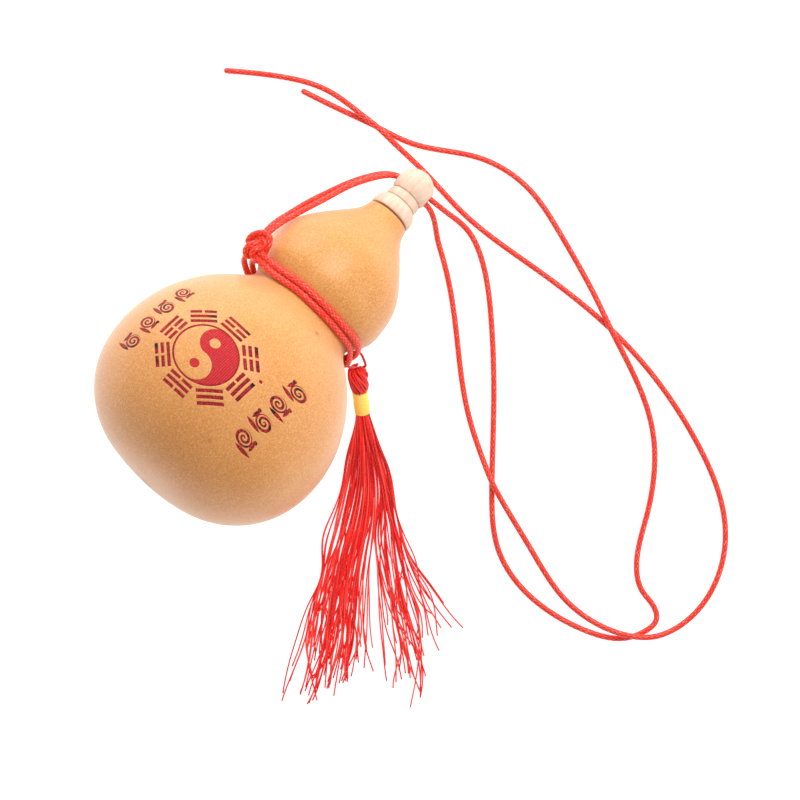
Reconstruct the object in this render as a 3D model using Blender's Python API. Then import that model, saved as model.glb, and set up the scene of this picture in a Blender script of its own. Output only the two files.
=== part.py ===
"""A dried bottle gourd lying on its two bulbs, with a turned wooden stopper, a doubled red cord
round its waist that is knotted, threaded through the stopper and laid out on the table, and a
silk tassel with a yellow binding.

Blender 4.5, metres, +Z up. The table is z = 0, +X is the way the gourd's mouth points, seen from
above, and the tassel lies on the -Y side. Lengths below are in millimetres until MM scales them.
"""

import math
import random

import bmesh
import bpy
import numpy as np
from mathutils import Matrix, Vector

MM = 0.001
GAP = 0.3

# Gourd: distance along its axis from the blossom end, and radius there
GOURD_OUTLINE = [
    (0.0, 0.0), (3.0, 22.0), (10.0, 32.0), (20.0, 38.6), (31.0, 41.1), (42.0, 40.4),
    (51.5, 37.1), (60.0, 31.8), (67.5, 24.6), (74.0, 19.4), (80.0, 22.9), (87.0, 23.9),
    (95.0, 22.5), (103.0, 17.8), (110.0, 12.1), (115.0, 8.6), (118.0, 7.7),
]
GOURD_SIDES = 44
OUTLINE_STEPS = 44
OUTLINE_CLOSER = 20.0
MOUTH = GOURD_OUTLINE[-1][0]
SOCKET_RADIUS = 5.6
SOCKET_FLOOR = 105.4

# How it lies: the common tangent of both bulbs is the table, and each bulb has a small flat
TILT = math.radians(18.97)
BLOSSOM_END = (-47.8, 36.9, 51.86)

# Stopper: distances along the gourd's axis
PEG_FOOT = 106.5
PEG_RADIUS = 5.3
COLLAR_FOOT = MOUTH + 0.75
COLLAR_RADIUS = 7.7
RING_RADIUS = 5.9
BALL_CENTRE = 131.4
BALL_RADIUS = 6.75
BALL_START = 127.8
HOLE_RADIUS = 2.4
STOPPER_SIDES = 28

# Cord
CORD_RADIUS = 0.95
CORD_POINTS = 80
CORD_CLOSER = 5.0
WAIST_POINTS = 38

# Waist strands: angle round the axis (0 is the knot's side, 90 the top), distance of the strand's
# middle along the axis, and its clearance from the skin
WAIST_MOUTH_SIDE = [
    (37, 77.8, 2.3), (48, 77.0, 1.5), (68, 76.2, 1.3), (90, 75.75, 1.3), (115, 75.7, 1.3), (140, 76.2, 1.35),
    (160, 76.7, 1.7), (172, 76.1, 2.2), (184, 75.0, 2.45), (196, 74.5, 2.35), (214, 74.9, 1.6), (240, 75.5, 1.3),
    (270, 75.6, 1.3), (300, 75.6, 1.3), (325, 75.7, 1.4), (342, 76.2, 1.7), (356, 76.8, 2.0), (368, 76.3, 1.9),
    (377, 75.9, 2.0),
]
WAIST_BASE_SIDE = [
    (32, 75.6, 4.4), (38, 75.1, 3.0), (46, 74.6, 2.1), (58, 74.1, 1.5), (75, 73.7, 1.3), (90, 73.5, 1.3),
    (115, 73.45, 1.3), (140, 73.9, 1.35), (160, 74.4, 1.7), (172, 73.8, 2.2), (184, 72.7, 2.45), (196, 72.1, 2.3),
    (214, 72.6, 1.5), (240, 73.2, 1.3), (270, 73.3, 1.3), (300, 73.3, 1.3), (325, 73.4, 1.5), (341, 73.5, 2.1),
    (352, 73.6, 3.1), (361, 73.8, 4.3), (368, 74.0, 5.3),
]

# Knot: the middle of each of its two doubled wraps
KNOT_BACK_WRAP = [
    (31.4, 58.5, 38.6), (33.9, 59.0, 38.6), (35.0, 60.9, 38.7), (34.3, 63.2, 38.3),
    (32.0, 64.5, 37.2), (29.4, 64.5, 35.6), (27.9, 63.0, 34.2), (28.2, 60.9, 34.4),
]
KNOT_FRONT_WRAP = [
    (32.4, 60.2, 39.3), (30.8, 60.6, 40.4), (28.6, 61.5, 39.6), (26.5, 62.0, 37.3),
    (25.2, 61.6, 34.3),
]
KNOT_WRAP_RADIUS = 1.85

# The two long cords: from the knot through the ball's hole, then free to their cut ends
LONG_CORD_A = [
    (37.1, 61.3, 36.6), (39.6, 60.9, 33.6), (44.0, 59.5, 30.0), (50.4, 57.4, 25.5),
    (56.8, 55.2, 20.8), (63.3, 53.0, 16.3), (69.0, 50.0, 13.0), (73.4, 46.9, 10.9),
    (75.9, 43.9, 10.35), (75.8, 37.0, 10.0), (75.35, 33.0, 9.15), (75.25, 29.7, 8.9),
    (74.2, 26.6, 7.2), (69.3, 20.2, 1.9), (65.5, 14.4, 1.0), (52.0, -3.0, 0.97),
    (32.2, -26.4, 0.97), (23.9, -40.6, 2.3), (20.7, -47.1, 3.2), (17.8, -54.8, 2.3),
    (12.2, -72.3, 0.97), (7.2, -93.0, 1.2), (8.2, -104.0, 2.6), (13.3, -116.6, 3.4),
    (17.0, -121.2, 3.0), (22.6, -124.9, 1.4), (31.0, -127.0, 0.97), (57.0, -118.9, 0.97),
    (75.6, -90.0, 0.97), (84.9, -46.0, 0.97), (83.4, -9.7, 0.97), (81.4, 20.0, 0.97),
    (83.2, 40.0, 1.0), (83.6, 52.5, 2.6), (83.9, 60.0, 3.35), (83.5, 67.0, 3.2),
    (83.1, 73.5, 2.0), (81.6, 82.0, 1.0), (76.5, 93.0, 0.97), (64.2, 110.8, 0.97),
]
LONG_CORD_B = [
    (38.9, 63.6, 34.8), (43.8, 61.6, 28.6), (50.3, 59.3, 23.3), (56.7, 57.0, 18.2),
    (63.2, 54.4, 13.4), (69.6, 50.9, 9.4), (74.4, 46.9, 8.0), (76.2, 43.8, 7.97),
    (76.47, 41.0, 7.99), (77.2, 37.0, 8.3), (77.65, 33.0, 9.15), (77.65, 29.8, 9.0),
    (77.8, 26.4, 7.6), (78.0, 22.8, 4.6), (78.3, 19.0, 2.0), (78.0, 14.2, 1.0),
    (75.0, 6.5, 0.97), (62.0, -10.0, 0.97), (41.5, -29.5, 0.97), (18.5, -49.0, 0.97),
    (4.9, -64.0, 0.97), (4.4, -104.8, 0.97), (10.0, -114.4, 0.97), (16.8, -118.6, 0.97),
    (22.6, -118.9, 0.97), (25.3, -115.2, 0.97), (26.6, -109.0, 0.97), (31.2, -102.4, 0.97),
    (46.3, -93.4, 0.97), (69.1, -75.7, 0.97), (80.6, -54.2, 2.0), (84.8, -43.5, 3.2),
    (89.0, -33.6, 2.0), (97.7, -9.0, 0.97), (101.8, 8.0, 0.97), (98.5, 28.0, 0.97),
    (87.5, 47.5, 0.97), (83.9, 59.8, 0.97), (79.8, 74.0, 0.97), (76.3, 87.0, 0.97),
]

# Tassel: the middle line of its head and binding, and the threads that lead the others
TASSEL_LOOP_RADIUS = 0.38
TASSEL_LOOP = [
    (19.6, 12.6, 20.4), (18.9, 12.9, 22.4), (18.4, 13.1, 24.6), (18.3, 14.2, 26.4),
    (19.1, 15.7, 27.0), (20.8, 16.5, 26.3), (22.7, 16.3, 25.4), (24.5, 15.2, 24.9),
    (25.1, 13.6, 24.4), (24.4, 11.8, 23.6), (23.6, 10.4, 22.6), (22.8, 9.8, 21.4),
    (22.3, 10.2, 20.3),
]
HEAD_TOP = (20.6, 11.2, 19.0)
NECK = (15.2, 5.6, 13.8)
BINDING_END = (10.0, 0.65, 10.0)
HEAD_RADIUS = 3.35
HEAD_RIDGES = 13
HEAD_SWELL = [0.6, 0.9, 0.99, 1.0, 1.0, 0.96, 0.88, 0.76, 0.6, 0.44, 0.44, 0.44]
CORE_RADIUS = 1.5
BINDING_RADIUS = 2.35
THREAD_RADIUS = 0.38
THREAD_SEED = 7
THREADS_OF_EACH_PAIR = (2, 3, 5, 7, 7, 5, 3, 3, 5, 5, 4, 3)
GUIDE_THREADS = {
    "outer_left": [(-1, -3), (-15, -11), (-32, -17), (-40, -24), (-50.5, -26.5), (-79.5, -40)],
    "left_edge": [(-1, -4), (-22.5, -16), (-43.5, -27.5), (-63, -39), (-82.8, -46.5)],
    "main_left": [(-0.5, -5), (-20, -16), (-41.5, -27.5), (-59, -38), (-75.5, -48.5)],
    "main_middle": [(0.5, -6), (-17.5, -18.5), (-38, -28.5), (-57, -40), (-77.5, -51.5)],
    "main_centre": [(1.5, -7), (-16, -20.5), (-36, -31), (-53.5, -41.5), (-69, -50.5)],
    "main_right": [(2, -7.5), (-14.5, -22), (-34, -33), (-50, -44.5), (-69.5, -55.5)],
    "inner_gap": [(2.5, -8.5), (-13, -23), (-32.5, -35), (-47.5, -45), (-60, -56)],
    "middle_thin": [(3, -9), (-12, -24), (-26.5, -33.5), (-42, -47), (-55.5, -59.5)],
    "second_left": [(3.5, -9), (-10, -24.5), (-25, -38), (-38, -55.5), (-51, -69.5)],
    "second_middle": [(4, -9.5), (-9, -25.5), (-22, -41), (-35, -57), (-51.5, -74.5)],
    "second_right": [(4, -10), (-8, -27), (-21, -42.5), (-32.5, -58.5), (-51, -78)],
    "right_spray": [(5, -10), (-6, -26.5), (-18.5, -45.5), (-25.5, -61.5), (-29, -71.5)],
    "outer_right": [(6, -10), (-4, -26), (-16, -44), (-19.5, -62), (-21, -73)],
}

SKIN_COLOUR = (0.80, 0.48, 0.20, 1.0)
WOOD_COLOUR = (0.88, 0.68, 0.46, 1.0)
CORD_COLOUR = (0.80, 0.04, 0.02, 1.0)
SILK_COLOUR = (0.62, 0.01, 0.01, 1.0)
YELLOW_COLOUR = (0.95, 0.66, 0.12, 1.0)


def clear_scene():
    for obj in list(bpy.data.objects):
        bpy.data.objects.remove(obj)


def material(name, colour, roughness):
    made = bpy.data.materials.new(name)
    made.use_nodes = True
    shader = made.node_tree.nodes["Principled BSDF"]
    shader.inputs["Base Color"].default_value = colour
    shader.inputs["Roughness"].default_value = roughness
    shader.inputs["Metallic"].default_value = 0.0
    return made


def smooth_curve(points, count, closer=0.0):
    """Points along the natural cubic spline through the given ones, closer together at bends."""
    points = np.array(points, float)
    steps = np.linalg.norm(np.diff(points, axis=0), axis=1)
    knots = np.concatenate(([0.0], np.cumsum(steps)))
    last = len(points) - 1
    system = np.eye(last + 1)
    right = np.zeros_like(points)
    for i in range(1, last):
        system[i, i - 1 : i + 2] = steps[i - 1], 2 * (steps[i - 1] + steps[i]), steps[i]
        right[i] = 6 * (points[i + 1] - points[i]) / steps[i]
        right[i] -= 6 * (points[i] - points[i - 1]) / steps[i - 1]
    bend = np.linalg.solve(system, right)
    at = np.linspace(0.0, knots[-1], 40 * count)
    i = np.clip(np.searchsorted(knots, at, side="right") - 1, 0, last - 1)
    span = steps[i][:, None]
    a = (knots[i + 1] - at)[:, None] / span
    b = 1 - a
    fine = a * points[i] + b * points[i + 1]
    fine += ((a**3 - a) * bend[i] + (b**3 - b) * bend[i + 1]) * span**2 / 6
    return resampled(fine, count, closer)


def resampled(line, count, closer=0.0):
    """The line's points at equal lengths, where a radian of bend counts as `closer` millimetres."""
    steps = np.diff(line, axis=0)
    lengths = np.linalg.norm(steps, axis=1)
    along = steps / lengths[:, None]
    turns = np.linalg.norm(np.diff(along, axis=0), axis=1)
    lengths[1:] += closer * turns
    travelled = np.concatenate(([0.0], np.cumsum(lengths)))
    at = np.linspace(0.0, travelled[-1], count)
    return np.column_stack([np.interp(at, travelled, column) for column in line.T])


def gourd_outline(count):
    """The skin from the blossom end to the mouth. Mirroring the stations rounds the pole."""
    half = np.array(GOURD_OUTLINE)
    mirrored = half[:0:-1] * (1, -1)
    whole = smooth_curve(np.vstack([mirrored, half]), 801)
    half_line = whole[400:]
    half_line[0] = (0.0, 0.0)
    return resampled(half_line, count, OUTLINE_CLOSER)


def turned(name, outline, sides, finish, closed=False):
    """Spins (height, radius) points round Z. An open outline starts and ends on the axis."""
    mesh = bmesh.new()
    verts = [mesh.verts.new((radius * MM, 0.0, height * MM)) for height, radius in outline]
    pairs = list(zip(verts, verts[1:]))
    if closed:
        pairs.append((verts[-1], verts[0]))
    edges = [mesh.edges.new(pair) for pair in pairs]
    bmesh.ops.spin(
        mesh, geom=verts + edges, cent=(0, 0, 0), axis=(0, 0, 1),
        angle=2 * math.pi, steps=sides, use_merge=True,
    )
    bmesh.ops.remove_doubles(mesh, verts=mesh.verts, dist=1e-7)
    bmesh.ops.recalc_face_normals(mesh, faces=mesh.faces)
    return finished(name, mesh, finish)


def finished(name, mesh, finish):
    """Puts a bmesh into a smooth-shaded object with its material."""
    data = bpy.data.meshes.new(name)
    mesh.to_mesh(data)
    mesh.free()
    data.materials.append(finish)
    data.shade_smooth()
    data.set_sharp_from_angle(angle=math.radians(40))
    obj = bpy.data.objects.new(name, data)
    bpy.context.scene.collection.objects.link(obj)
    return obj


def gourd_axis():
    """An empty at the blossom end whose +Z is the gourd's axis."""
    empty = bpy.data.objects.new("gourd_axis", None)
    bpy.context.scene.collection.objects.link(empty)
    empty.location = Vector(BLOSSOM_END) * MM
    empty.rotation_euler = (0.0, math.pi / 2 + TILT, 0.0)
    return empty


def cut_resting_flats(obj):
    """Cuts what reaches below the table off the two bulbs, which leaves a small flat on each."""
    place = Matrix.Translation(Vector(BLOSSOM_END) * MM) @ Matrix.Rotation(math.pi / 2 + TILT, 4, "Y")
    back = place.inverted()
    mesh = bmesh.new()
    mesh.from_mesh(obj.data)
    bmesh.ops.bisect_plane(
        mesh, geom=mesh.verts[:] + mesh.edges[:] + mesh.faces[:], dist=1e-8,
        plane_co=back @ Vector((0, 0, 0)), plane_no=back.to_3x3() @ Vector((0, 0, -1)),
        clear_outer=True,
    )
    rim = [edge for edge in mesh.edges if edge.is_boundary]
    bmesh.ops.edgeloop_fill(mesh, edges=rim)
    bmesh.ops.recalc_face_normals(mesh, faces=mesh.faces)
    mesh.to_mesh(obj.data)
    mesh.free()
    obj.data.set_sharp_from_angle(angle=math.radians(40))


def make_gourd(axis):
    """Two bulbs and a waist in one solid, with a socket in its cut neck for the stopper's peg."""
    rim = [(MOUTH, SOCKET_RADIUS + 0.2), (MOUTH - 0.2, SOCKET_RADIUS)]
    socket = [(SOCKET_FLOOR, SOCKET_RADIUS), (SOCKET_FLOOR, 0.0)]
    outline = np.vstack([gourd_outline(OUTLINE_STEPS), rim, socket])
    obj = turned("gourd", outline, GOURD_SIDES, material("dried_gourd_skin", SKIN_COLOUR, 0.45))
    cut_resting_flats(obj)
    obj.parent = axis
    return obj


def stopper_outline():
    """Peg, collar, ring and ball, from the peg's foot to the ball's top."""
    outline = [
        (PEG_FOOT, 0.0), (PEG_FOOT, PEG_RADIUS - 0.9), (PEG_FOOT + 0.8, PEG_RADIUS - 0.3),
        (COLLAR_FOOT, PEG_RADIUS), (COLLAR_FOOT, COLLAR_RADIUS - 0.3),
        (COLLAR_FOOT + 0.4, COLLAR_RADIUS - 0.1), (COLLAR_FOOT + 1.4, COLLAR_RADIUS),
        (COLLAR_FOOT + 2.8, COLLAR_RADIUS - 0.25), (COLLAR_FOOT + 4.2, COLLAR_RADIUS - 0.9),
        (COLLAR_FOOT + 5.2, COLLAR_RADIUS - 1.7), (COLLAR_FOOT + 5.5, RING_RADIUS - 0.35),
        (COLLAR_FOOT + 5.8, RING_RADIUS - 0.1), (COLLAR_FOOT + 6.7, RING_RADIUS),
        (COLLAR_FOOT + 7.9, RING_RADIUS - 0.1), (BALL_START - 0.5, RING_RADIUS - 0.45),
        (BALL_START - 0.1, RING_RADIUS - 0.8),
    ]
    start = math.asin((BALL_START - BALL_CENTRE) / BALL_RADIUS)
    for turn in np.linspace(start, math.pi / 2, 13):
        height = BALL_CENTRE + BALL_RADIUS * math.sin(turn)
        outline.append((height, max(0.0, BALL_RADIUS * math.cos(turn))))
    outline[-1] = (BALL_CENTRE + BALL_RADIUS, 0.0)
    return outline


def make_stopper(axis):
    """A turned piece with a hole bored across its ball for the cords."""
    stopper = turned("stopper", stopper_outline(), STOPPER_SIDES, material("pale_beech", WOOD_COLOUR, 0.5))
    mesh = bmesh.new()
    bmesh.ops.create_cone(
        mesh, cap_ends=True, segments=20, radius1=HOLE_RADIUS * MM,
        radius2=HOLE_RADIUS * MM, depth=3 * BALL_RADIUS * MM,
        matrix=Matrix.Translation((0, 0, BALL_CENTRE * MM)) @ Matrix.Rotation(math.pi / 2, 4, "X"),
    )
    cutter = finished("stopper_hole_cutter", mesh, material("cutter", WOOD_COLOUR, 0.5))
    cutter.hide_render = True
    cutter.display_type = "WIRE"
    bored = stopper.modifiers.new("cord_hole", "BOOLEAN")
    bored.operation = "DIFFERENCE"
    bored.object = cutter
    stopper.parent = axis
    cutter.parent = axis


def clear_radius(station, clearance):
    """How far from the axis a line round the gourd runs that keeps this clearance from its skin."""
    outline = gourd_outline(500)
    near = outline[np.abs(outline[:, 0] - station) < clearance]
    return float((near[:, 1] + np.sqrt(clearance**2 - (near[:, 0] - station) ** 2)).max())


def round_gourd(angle, station, clearance):
    """The point at an angle round the axis, at a distance along it and clear of the skin."""
    turn = math.radians(angle)
    out = clear_radius(station, clearance)
    up = out * math.sin(turn)
    x = BLOSSOM_END[0] + station * math.cos(TILT) + up * math.sin(TILT)
    y = BLOSSOM_END[1] + out * math.cos(turn)
    z = BLOSSOM_END[2] - station * math.sin(TILT) + up * math.cos(TILT)
    return (x, y, z)


def cord_tube(name, points, radius, finish):
    """A round cord along the points, as a curve with filled ends."""
    data = bpy.data.curves.new(name, "CURVE")
    data.dimensions = "3D"
    data.bevel_depth = radius * MM
    data.bevel_resolution = 2
    data.use_fill_caps = True
    spline = data.splines.new("POLY")
    spline.points.add(len(points) - 1)
    for point, (x, y, z) in zip(spline.points, points):
        point.co = (x * MM, y * MM, z * MM, 1.0)
    data.materials.append(finish)
    obj = bpy.data.objects.new(name, data)
    bpy.context.scene.collection.objects.link(obj)
    return obj


def swept(name, points, half_widths, half_heights, sides, finish, ridges=0):
    """A closed solid along the points, each cross-section level across and upright."""
    points = np.array(points, float)
    along = np.gradient(points, axis=0)
    along /= np.linalg.norm(along, axis=1)[:, None]
    across = np.cross(along, (0.0, 0.0, 1.0))
    across /= np.linalg.norm(across, axis=1)[:, None]
    above = np.cross(across, along)
    mesh = bmesh.new()
    rings = []
    for i, middle in enumerate(points):
        ring = []
        for j in range(sides):
            turn = 2 * math.pi * j / sides
            swell = 1 + 0.07 * math.cos(ridges * (turn + 0.12 * i)) if ridges else 1.0
            place = middle + half_widths[i] * swell * math.cos(turn) * across[i]
            place = place + half_heights[i] * swell * math.sin(turn) * above[i]
            ring.append(mesh.verts.new(place * MM))
        rings.append(ring)
    for ring, after in zip(rings, rings[1:]):
        for j in range(sides):
            k = (j + 1) % sides
            mesh.faces.new((ring[j], ring[k], after[k], after[j]))
    mesh.faces.new(rings[0])
    mesh.faces.new(rings[-1])
    bmesh.ops.triangulate(mesh, faces=mesh.faces)
    bmesh.ops.recalc_face_normals(mesh, faces=mesh.faces)
    return finished(name, mesh, finish)


def fused(pieces, solver):
    """Joins the pieces into the first one with a Boolean union, and removes the others."""
    first, others = pieces[0], pieces[1:]
    group = bpy.data.collections.new(first.name + "_pieces")
    bpy.context.scene.collection.children.link(group)
    for piece in others:
        bpy.context.scene.collection.objects.unlink(piece)
        group.objects.link(piece)
    union = first.modifiers.new("joined", "BOOLEAN")
    union.operation = "UNION"
    union.operand_type = "COLLECTION"
    union.collection = group
    union.solver = solver
    graph = bpy.context.evaluated_depsgraph_get()
    joined = bpy.data.meshes.new_from_object(first.evaluated_get(graph))
    first.modifiers.remove(union)
    first.data = joined
    for piece in others:
        bpy.data.objects.remove(piece)
    bpy.data.collections.remove(group)
    fill_pockets(joined)
    return first


def fill_pockets(data):
    """Removes the small sealed pockets left between fused pieces, and keeps the outer skin."""
    mesh = bmesh.new()
    mesh.from_mesh(data)
    unseen = set(mesh.verts)
    islands = []
    while unseen:
        island = [unseen.pop()]
        for vert in island:
            for edge in vert.link_edges:
                other = edge.other_vert(vert)
                if other in unseen:
                    unseen.remove(other)
                    island.append(other)
        islands.append(island)
    islands.sort(key=len)
    for island in islands[:-1]:
        bmesh.ops.delete(mesh, geom=island, context="VERTS")
    print(data.name, "pockets filled:", len(islands) - 1)
    mesh.to_mesh(data)
    mesh.free()


def make_cords(finish):
    """The waist strands, and the long cords from the knot through the ball to their ends."""
    for name, route in (
        ("waist_cord_mouth_side", WAIST_MOUTH_SIDE),
        ("waist_cord_base_side", WAIST_BASE_SIDE),
    ):
        points = smooth_curve([round_gourd(*station) for station in route], WAIST_POINTS)
        cord_tube(name, points, CORD_RADIUS, finish)
    for name, route in (("long_cord_a", LONG_CORD_A), ("long_cord_b", LONG_CORD_B)):
        points = smooth_curve(route, CORD_POINTS, CORD_CLOSER)
        points[:, 2] = np.maximum(points[:, 2], CORD_RADIUS + 0.02)
        cord_tube(name, points, CORD_RADIUS, finish)


def make_knot(finish):
    """Two doubled wraps, one behind and one in front, drawn tight into one lump."""
    wraps = []
    for name, route in (("knot", KNOT_BACK_WRAP), ("front_wrap", KNOT_FRONT_WRAP)):
        line = smooth_curve(route, 14)
        size = np.full(len(line), KNOT_WRAP_RADIUS)
        size[[0, -1]] *= 0.75
        wraps.append(swept(name, line, size, 0.9 * size, 12, finish))
    return fused(wraps, "EXACT")


def tassel_direction():
    along = Vector(BINDING_END) - Vector(NECK)
    return np.array(along.normalized())


def make_binding():
    """The yellow winding round the tassel's neck, a sleeve with shallow turns."""
    along = Vector(BINDING_END) - Vector(NECK)
    length = along.length
    turns = 7
    outer = []
    for i in range(2 * turns + 1):
        height = length * i / (2 * turns)
        outer.append((height, BINDING_RADIUS - (0.0 if i % 2 else 0.14)))
    inner = [(length, CORE_RADIUS + GAP), (0.0, CORE_RADIUS + GAP)]
    sleeve = turned("tassel_binding", outer + inner, 20, material("yellow_silk", YELLOW_COLOUR, 0.4), True)
    sleeve.location = Vector(NECK) * MM
    sleeve.rotation_mode = "QUATERNION"
    sleeve.rotation_quaternion = along.to_track_quat("Z", "Y")


def skirt_line(route, height, tip_height):
    """One thread: out of the binding, down to the table and along its guide to the tip."""
    way = tassel_direction()
    end = np.array(BINDING_END)
    first, rest = route[0], route[1:]
    lie = [first] + list(rest)
    share = np.linspace(0.0, 1.0, len(lie)) ** 0.7
    heights = (1 - share) * height + share * tip_height
    points = [end - 2.0 * way, end + 1.5 * way]
    points += [np.array([x, y, z]) for (x, y), z in zip(lie, heights)]
    return points


def make_threads(finish):
    """Head, core and skirt of the tassel. The threads fuse into the core at their roots."""
    way = tassel_direction()
    head_line = smooth_curve([HEAD_TOP, (17.8, 8.2, 16.6), NECK, NECK + 2.0 * way], 12)
    head_size = HEAD_RADIUS * np.array(HEAD_SWELL)
    pieces = [swept("tassel_threads", head_line, head_size, head_size, 26, finish, HEAD_RIDGES)]
    guides = [np.array(guide, float) for guide in GUIDE_THREADS.values()]
    guides = [resampled(guide, 9) for guide in guides]
    spine = (guides[3] + guides[4] + guides[8]) / 3
    core_line = skirt_line(spine[:4], 3.0, 1.2)
    core_line = smooth_curve([NECK + 0.5 * way, NECK + 4.5 * way] + core_line, 12)
    core_width = [1.45, 1.5, 1.5, 1.5, 1.7, 2.3, 2.6, 2.6, 2.4, 2.0, 1.5, 0.7]
    core_height = [1.45, 1.5, 1.5, 1.5, 1.6, 1.5, 1.3, 1.1, 0.9, 0.8, 0.7, 0.5]
    pieces.append(swept("core", core_line, core_width, core_height, 10, finish))
    draw = random.Random(THREAD_SEED)
    for pair, count in enumerate(THREADS_OF_EACH_PAIR):
        for i in range(count):
            share = draw.random() if i else 0.0
            route = (1 - share) * guides[pair] + share * guides[pair + 1]
            reach = 1 - 0.2 * draw.random() ** 2 if i else 1.0
            route = resampled(route, 24)[: round(24 * reach)]
            height = draw.uniform(1.4, 3.2)
            line = skirt_line(resampled(route, 6), height, draw.uniform(0.45, 0.9))
            line = smooth_curve(line, 7)
            size = np.full(len(line), THREAD_RADIUS)
            pieces.append(swept("thread", line, size, size, 3, finish))
    return fused(pieces, "MANIFOLD")


def make_tassel_loop(finish):
    """The thin cord under both waist strands that carries the tassel."""
    cord_tube("tassel_loop", smooth_curve(TASSEL_LOOP, 34, 2.0), TASSEL_LOOP_RADIUS, finish)


def main():
    clear_scene()
    axis = gourd_axis()
    make_gourd(axis)
    make_stopper(axis)
    cord = material("red_cord", CORD_COLOUR, 0.4)
    silk = material("red_silk", SILK_COLOUR, 0.45)
    make_cords(cord)
    make_knot(cord)
    make_threads(silk)
    make_binding()
    make_tassel_loop(silk)


main()
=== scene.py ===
# %% [markdown]
# # A dried bottle gourd with a red cord and a silk tassel
#
# The real object is a small dried gourd, sanded smooth, closed by a turned wooden stopper. A red
# satin cord is doubled round its waist, knotted, led through the stopper's ball and left loose on
# the table, and a silk tassel with a yellow binding hangs from the waist cords.
#
# The CAD model already has the right sizes, so this lesson keeps every place that it gives and
# makes each piece again with the detail that an eye sees close up. Lengths are in millimetres
# until the moment when a mesh is written, where `MM` turns them into metres.

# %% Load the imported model
import math

import bpy
import numpy as np
from mathutils import Matrix, Vector


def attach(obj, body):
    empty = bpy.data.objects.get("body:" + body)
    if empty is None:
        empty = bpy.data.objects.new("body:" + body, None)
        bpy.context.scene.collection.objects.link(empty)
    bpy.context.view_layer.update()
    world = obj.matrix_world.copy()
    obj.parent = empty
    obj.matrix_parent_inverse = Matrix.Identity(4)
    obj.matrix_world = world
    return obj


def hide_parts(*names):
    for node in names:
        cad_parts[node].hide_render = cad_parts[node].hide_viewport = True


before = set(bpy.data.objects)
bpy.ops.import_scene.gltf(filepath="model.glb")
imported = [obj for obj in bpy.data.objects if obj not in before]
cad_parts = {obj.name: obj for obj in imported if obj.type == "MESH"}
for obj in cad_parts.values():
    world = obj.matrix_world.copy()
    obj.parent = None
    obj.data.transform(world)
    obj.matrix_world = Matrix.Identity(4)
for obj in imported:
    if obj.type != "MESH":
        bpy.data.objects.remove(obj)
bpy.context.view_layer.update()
MM = 0.001
print("CAD nodes:", ", ".join(sorted(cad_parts)))

# %% [markdown]
# ## The camera
#
# The photograph looks almost straight down, four degrees off the vertical, with the gourd turned
# so that its mouth points to the upper right. A camera could be aimed with a constraint, but a
# matrix built from three directions says exactly which way is right, which way is up and which
# way is back, and nothing has to be evaluated later.

# %% The camera
LEAN = math.radians(4.0)
IMAGE_RIGHT = (0.66301, -0.74861)
FOCUS = Vector((20.6, -6.0, 0.0))
DISTANCE = 905.0
LENS = 121.545
SENSOR = 36.0

level_x = Vector((math.cos(LEAN), 0.0, -math.sin(LEAN)))
level_y = Vector((0.0, 1.0, 0.0))
view_back = Vector((math.sin(LEAN), 0.0, math.cos(LEAN)))
view_right = IMAGE_RIGHT[0] * level_x + IMAGE_RIGHT[1] * level_y
view_up = -IMAGE_RIGHT[1] * level_x + IMAGE_RIGHT[0] * level_y

camera_data = bpy.data.cameras.new("photo_camera")
camera_data.lens = LENS
camera_data.sensor_width = SENSOR
camera_data.clip_start = 0.01
camera_data.clip_end = 20.0
camera = bpy.data.objects.new("photo_camera", camera_data)
turned_to_view = Matrix((view_right, view_up, view_back)).transposed().to_4x4()
camera.matrix_world = Matrix.Translation((FOCUS + DISTANCE * view_back) * MM) @ turned_to_view
bpy.context.scene.collection.objects.link(camera)
bpy.context.scene.camera = camera
print("camera at", [round(x, 4) for x in camera.matrix_world.translation])

# %% [markdown]
# ## Shader maths as Python
#
# A material in Blender is a graph of nodes. Drawing a graph by hand is slow to read, so one class
# wraps an output socket and gives it arithmetic: `1 - mask` adds a Math node and returns its
# output.

# %% A number that varies over a surface


class Signal:
    """A number that varies over a surface: one output socket, with arithmetic on it."""

    __array_ufunc__ = None

    def __init__(self, finish, socket):
        self.finish = finish
        self.socket = socket

    def maths(self, operation, *values):
        return self.finish.node(
            "ShaderNodeMath", {"operation": operation}, dict(enumerate(values))
        )

    def __add__(self, other):
        return self.maths("ADD", self, other)

    def __sub__(self, other):
        return self.maths("SUBTRACT", self, other)

    def __rsub__(self, other):
        return self.maths("SUBTRACT", other, self)

    def __mul__(self, other):
        return self.maths("MULTIPLY", self, other)

    def __truediv__(self, other):
        return self.maths("DIVIDE", self, other)

    def __neg__(self):
        return self.maths("MULTIPLY", self, -1.0)

    __radd__ = __add__
    __rmul__ = __mul__


# %% [markdown]
# ## A material in the making
#
# A second class holds the material that is being made. Its `node` method adds any node from its
# type, its settings and the values or links of its sockets; the other methods are the few
# patterns that this object needs. Colours are given as a painter mixes them on a screen.

# %% A material in the making


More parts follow.
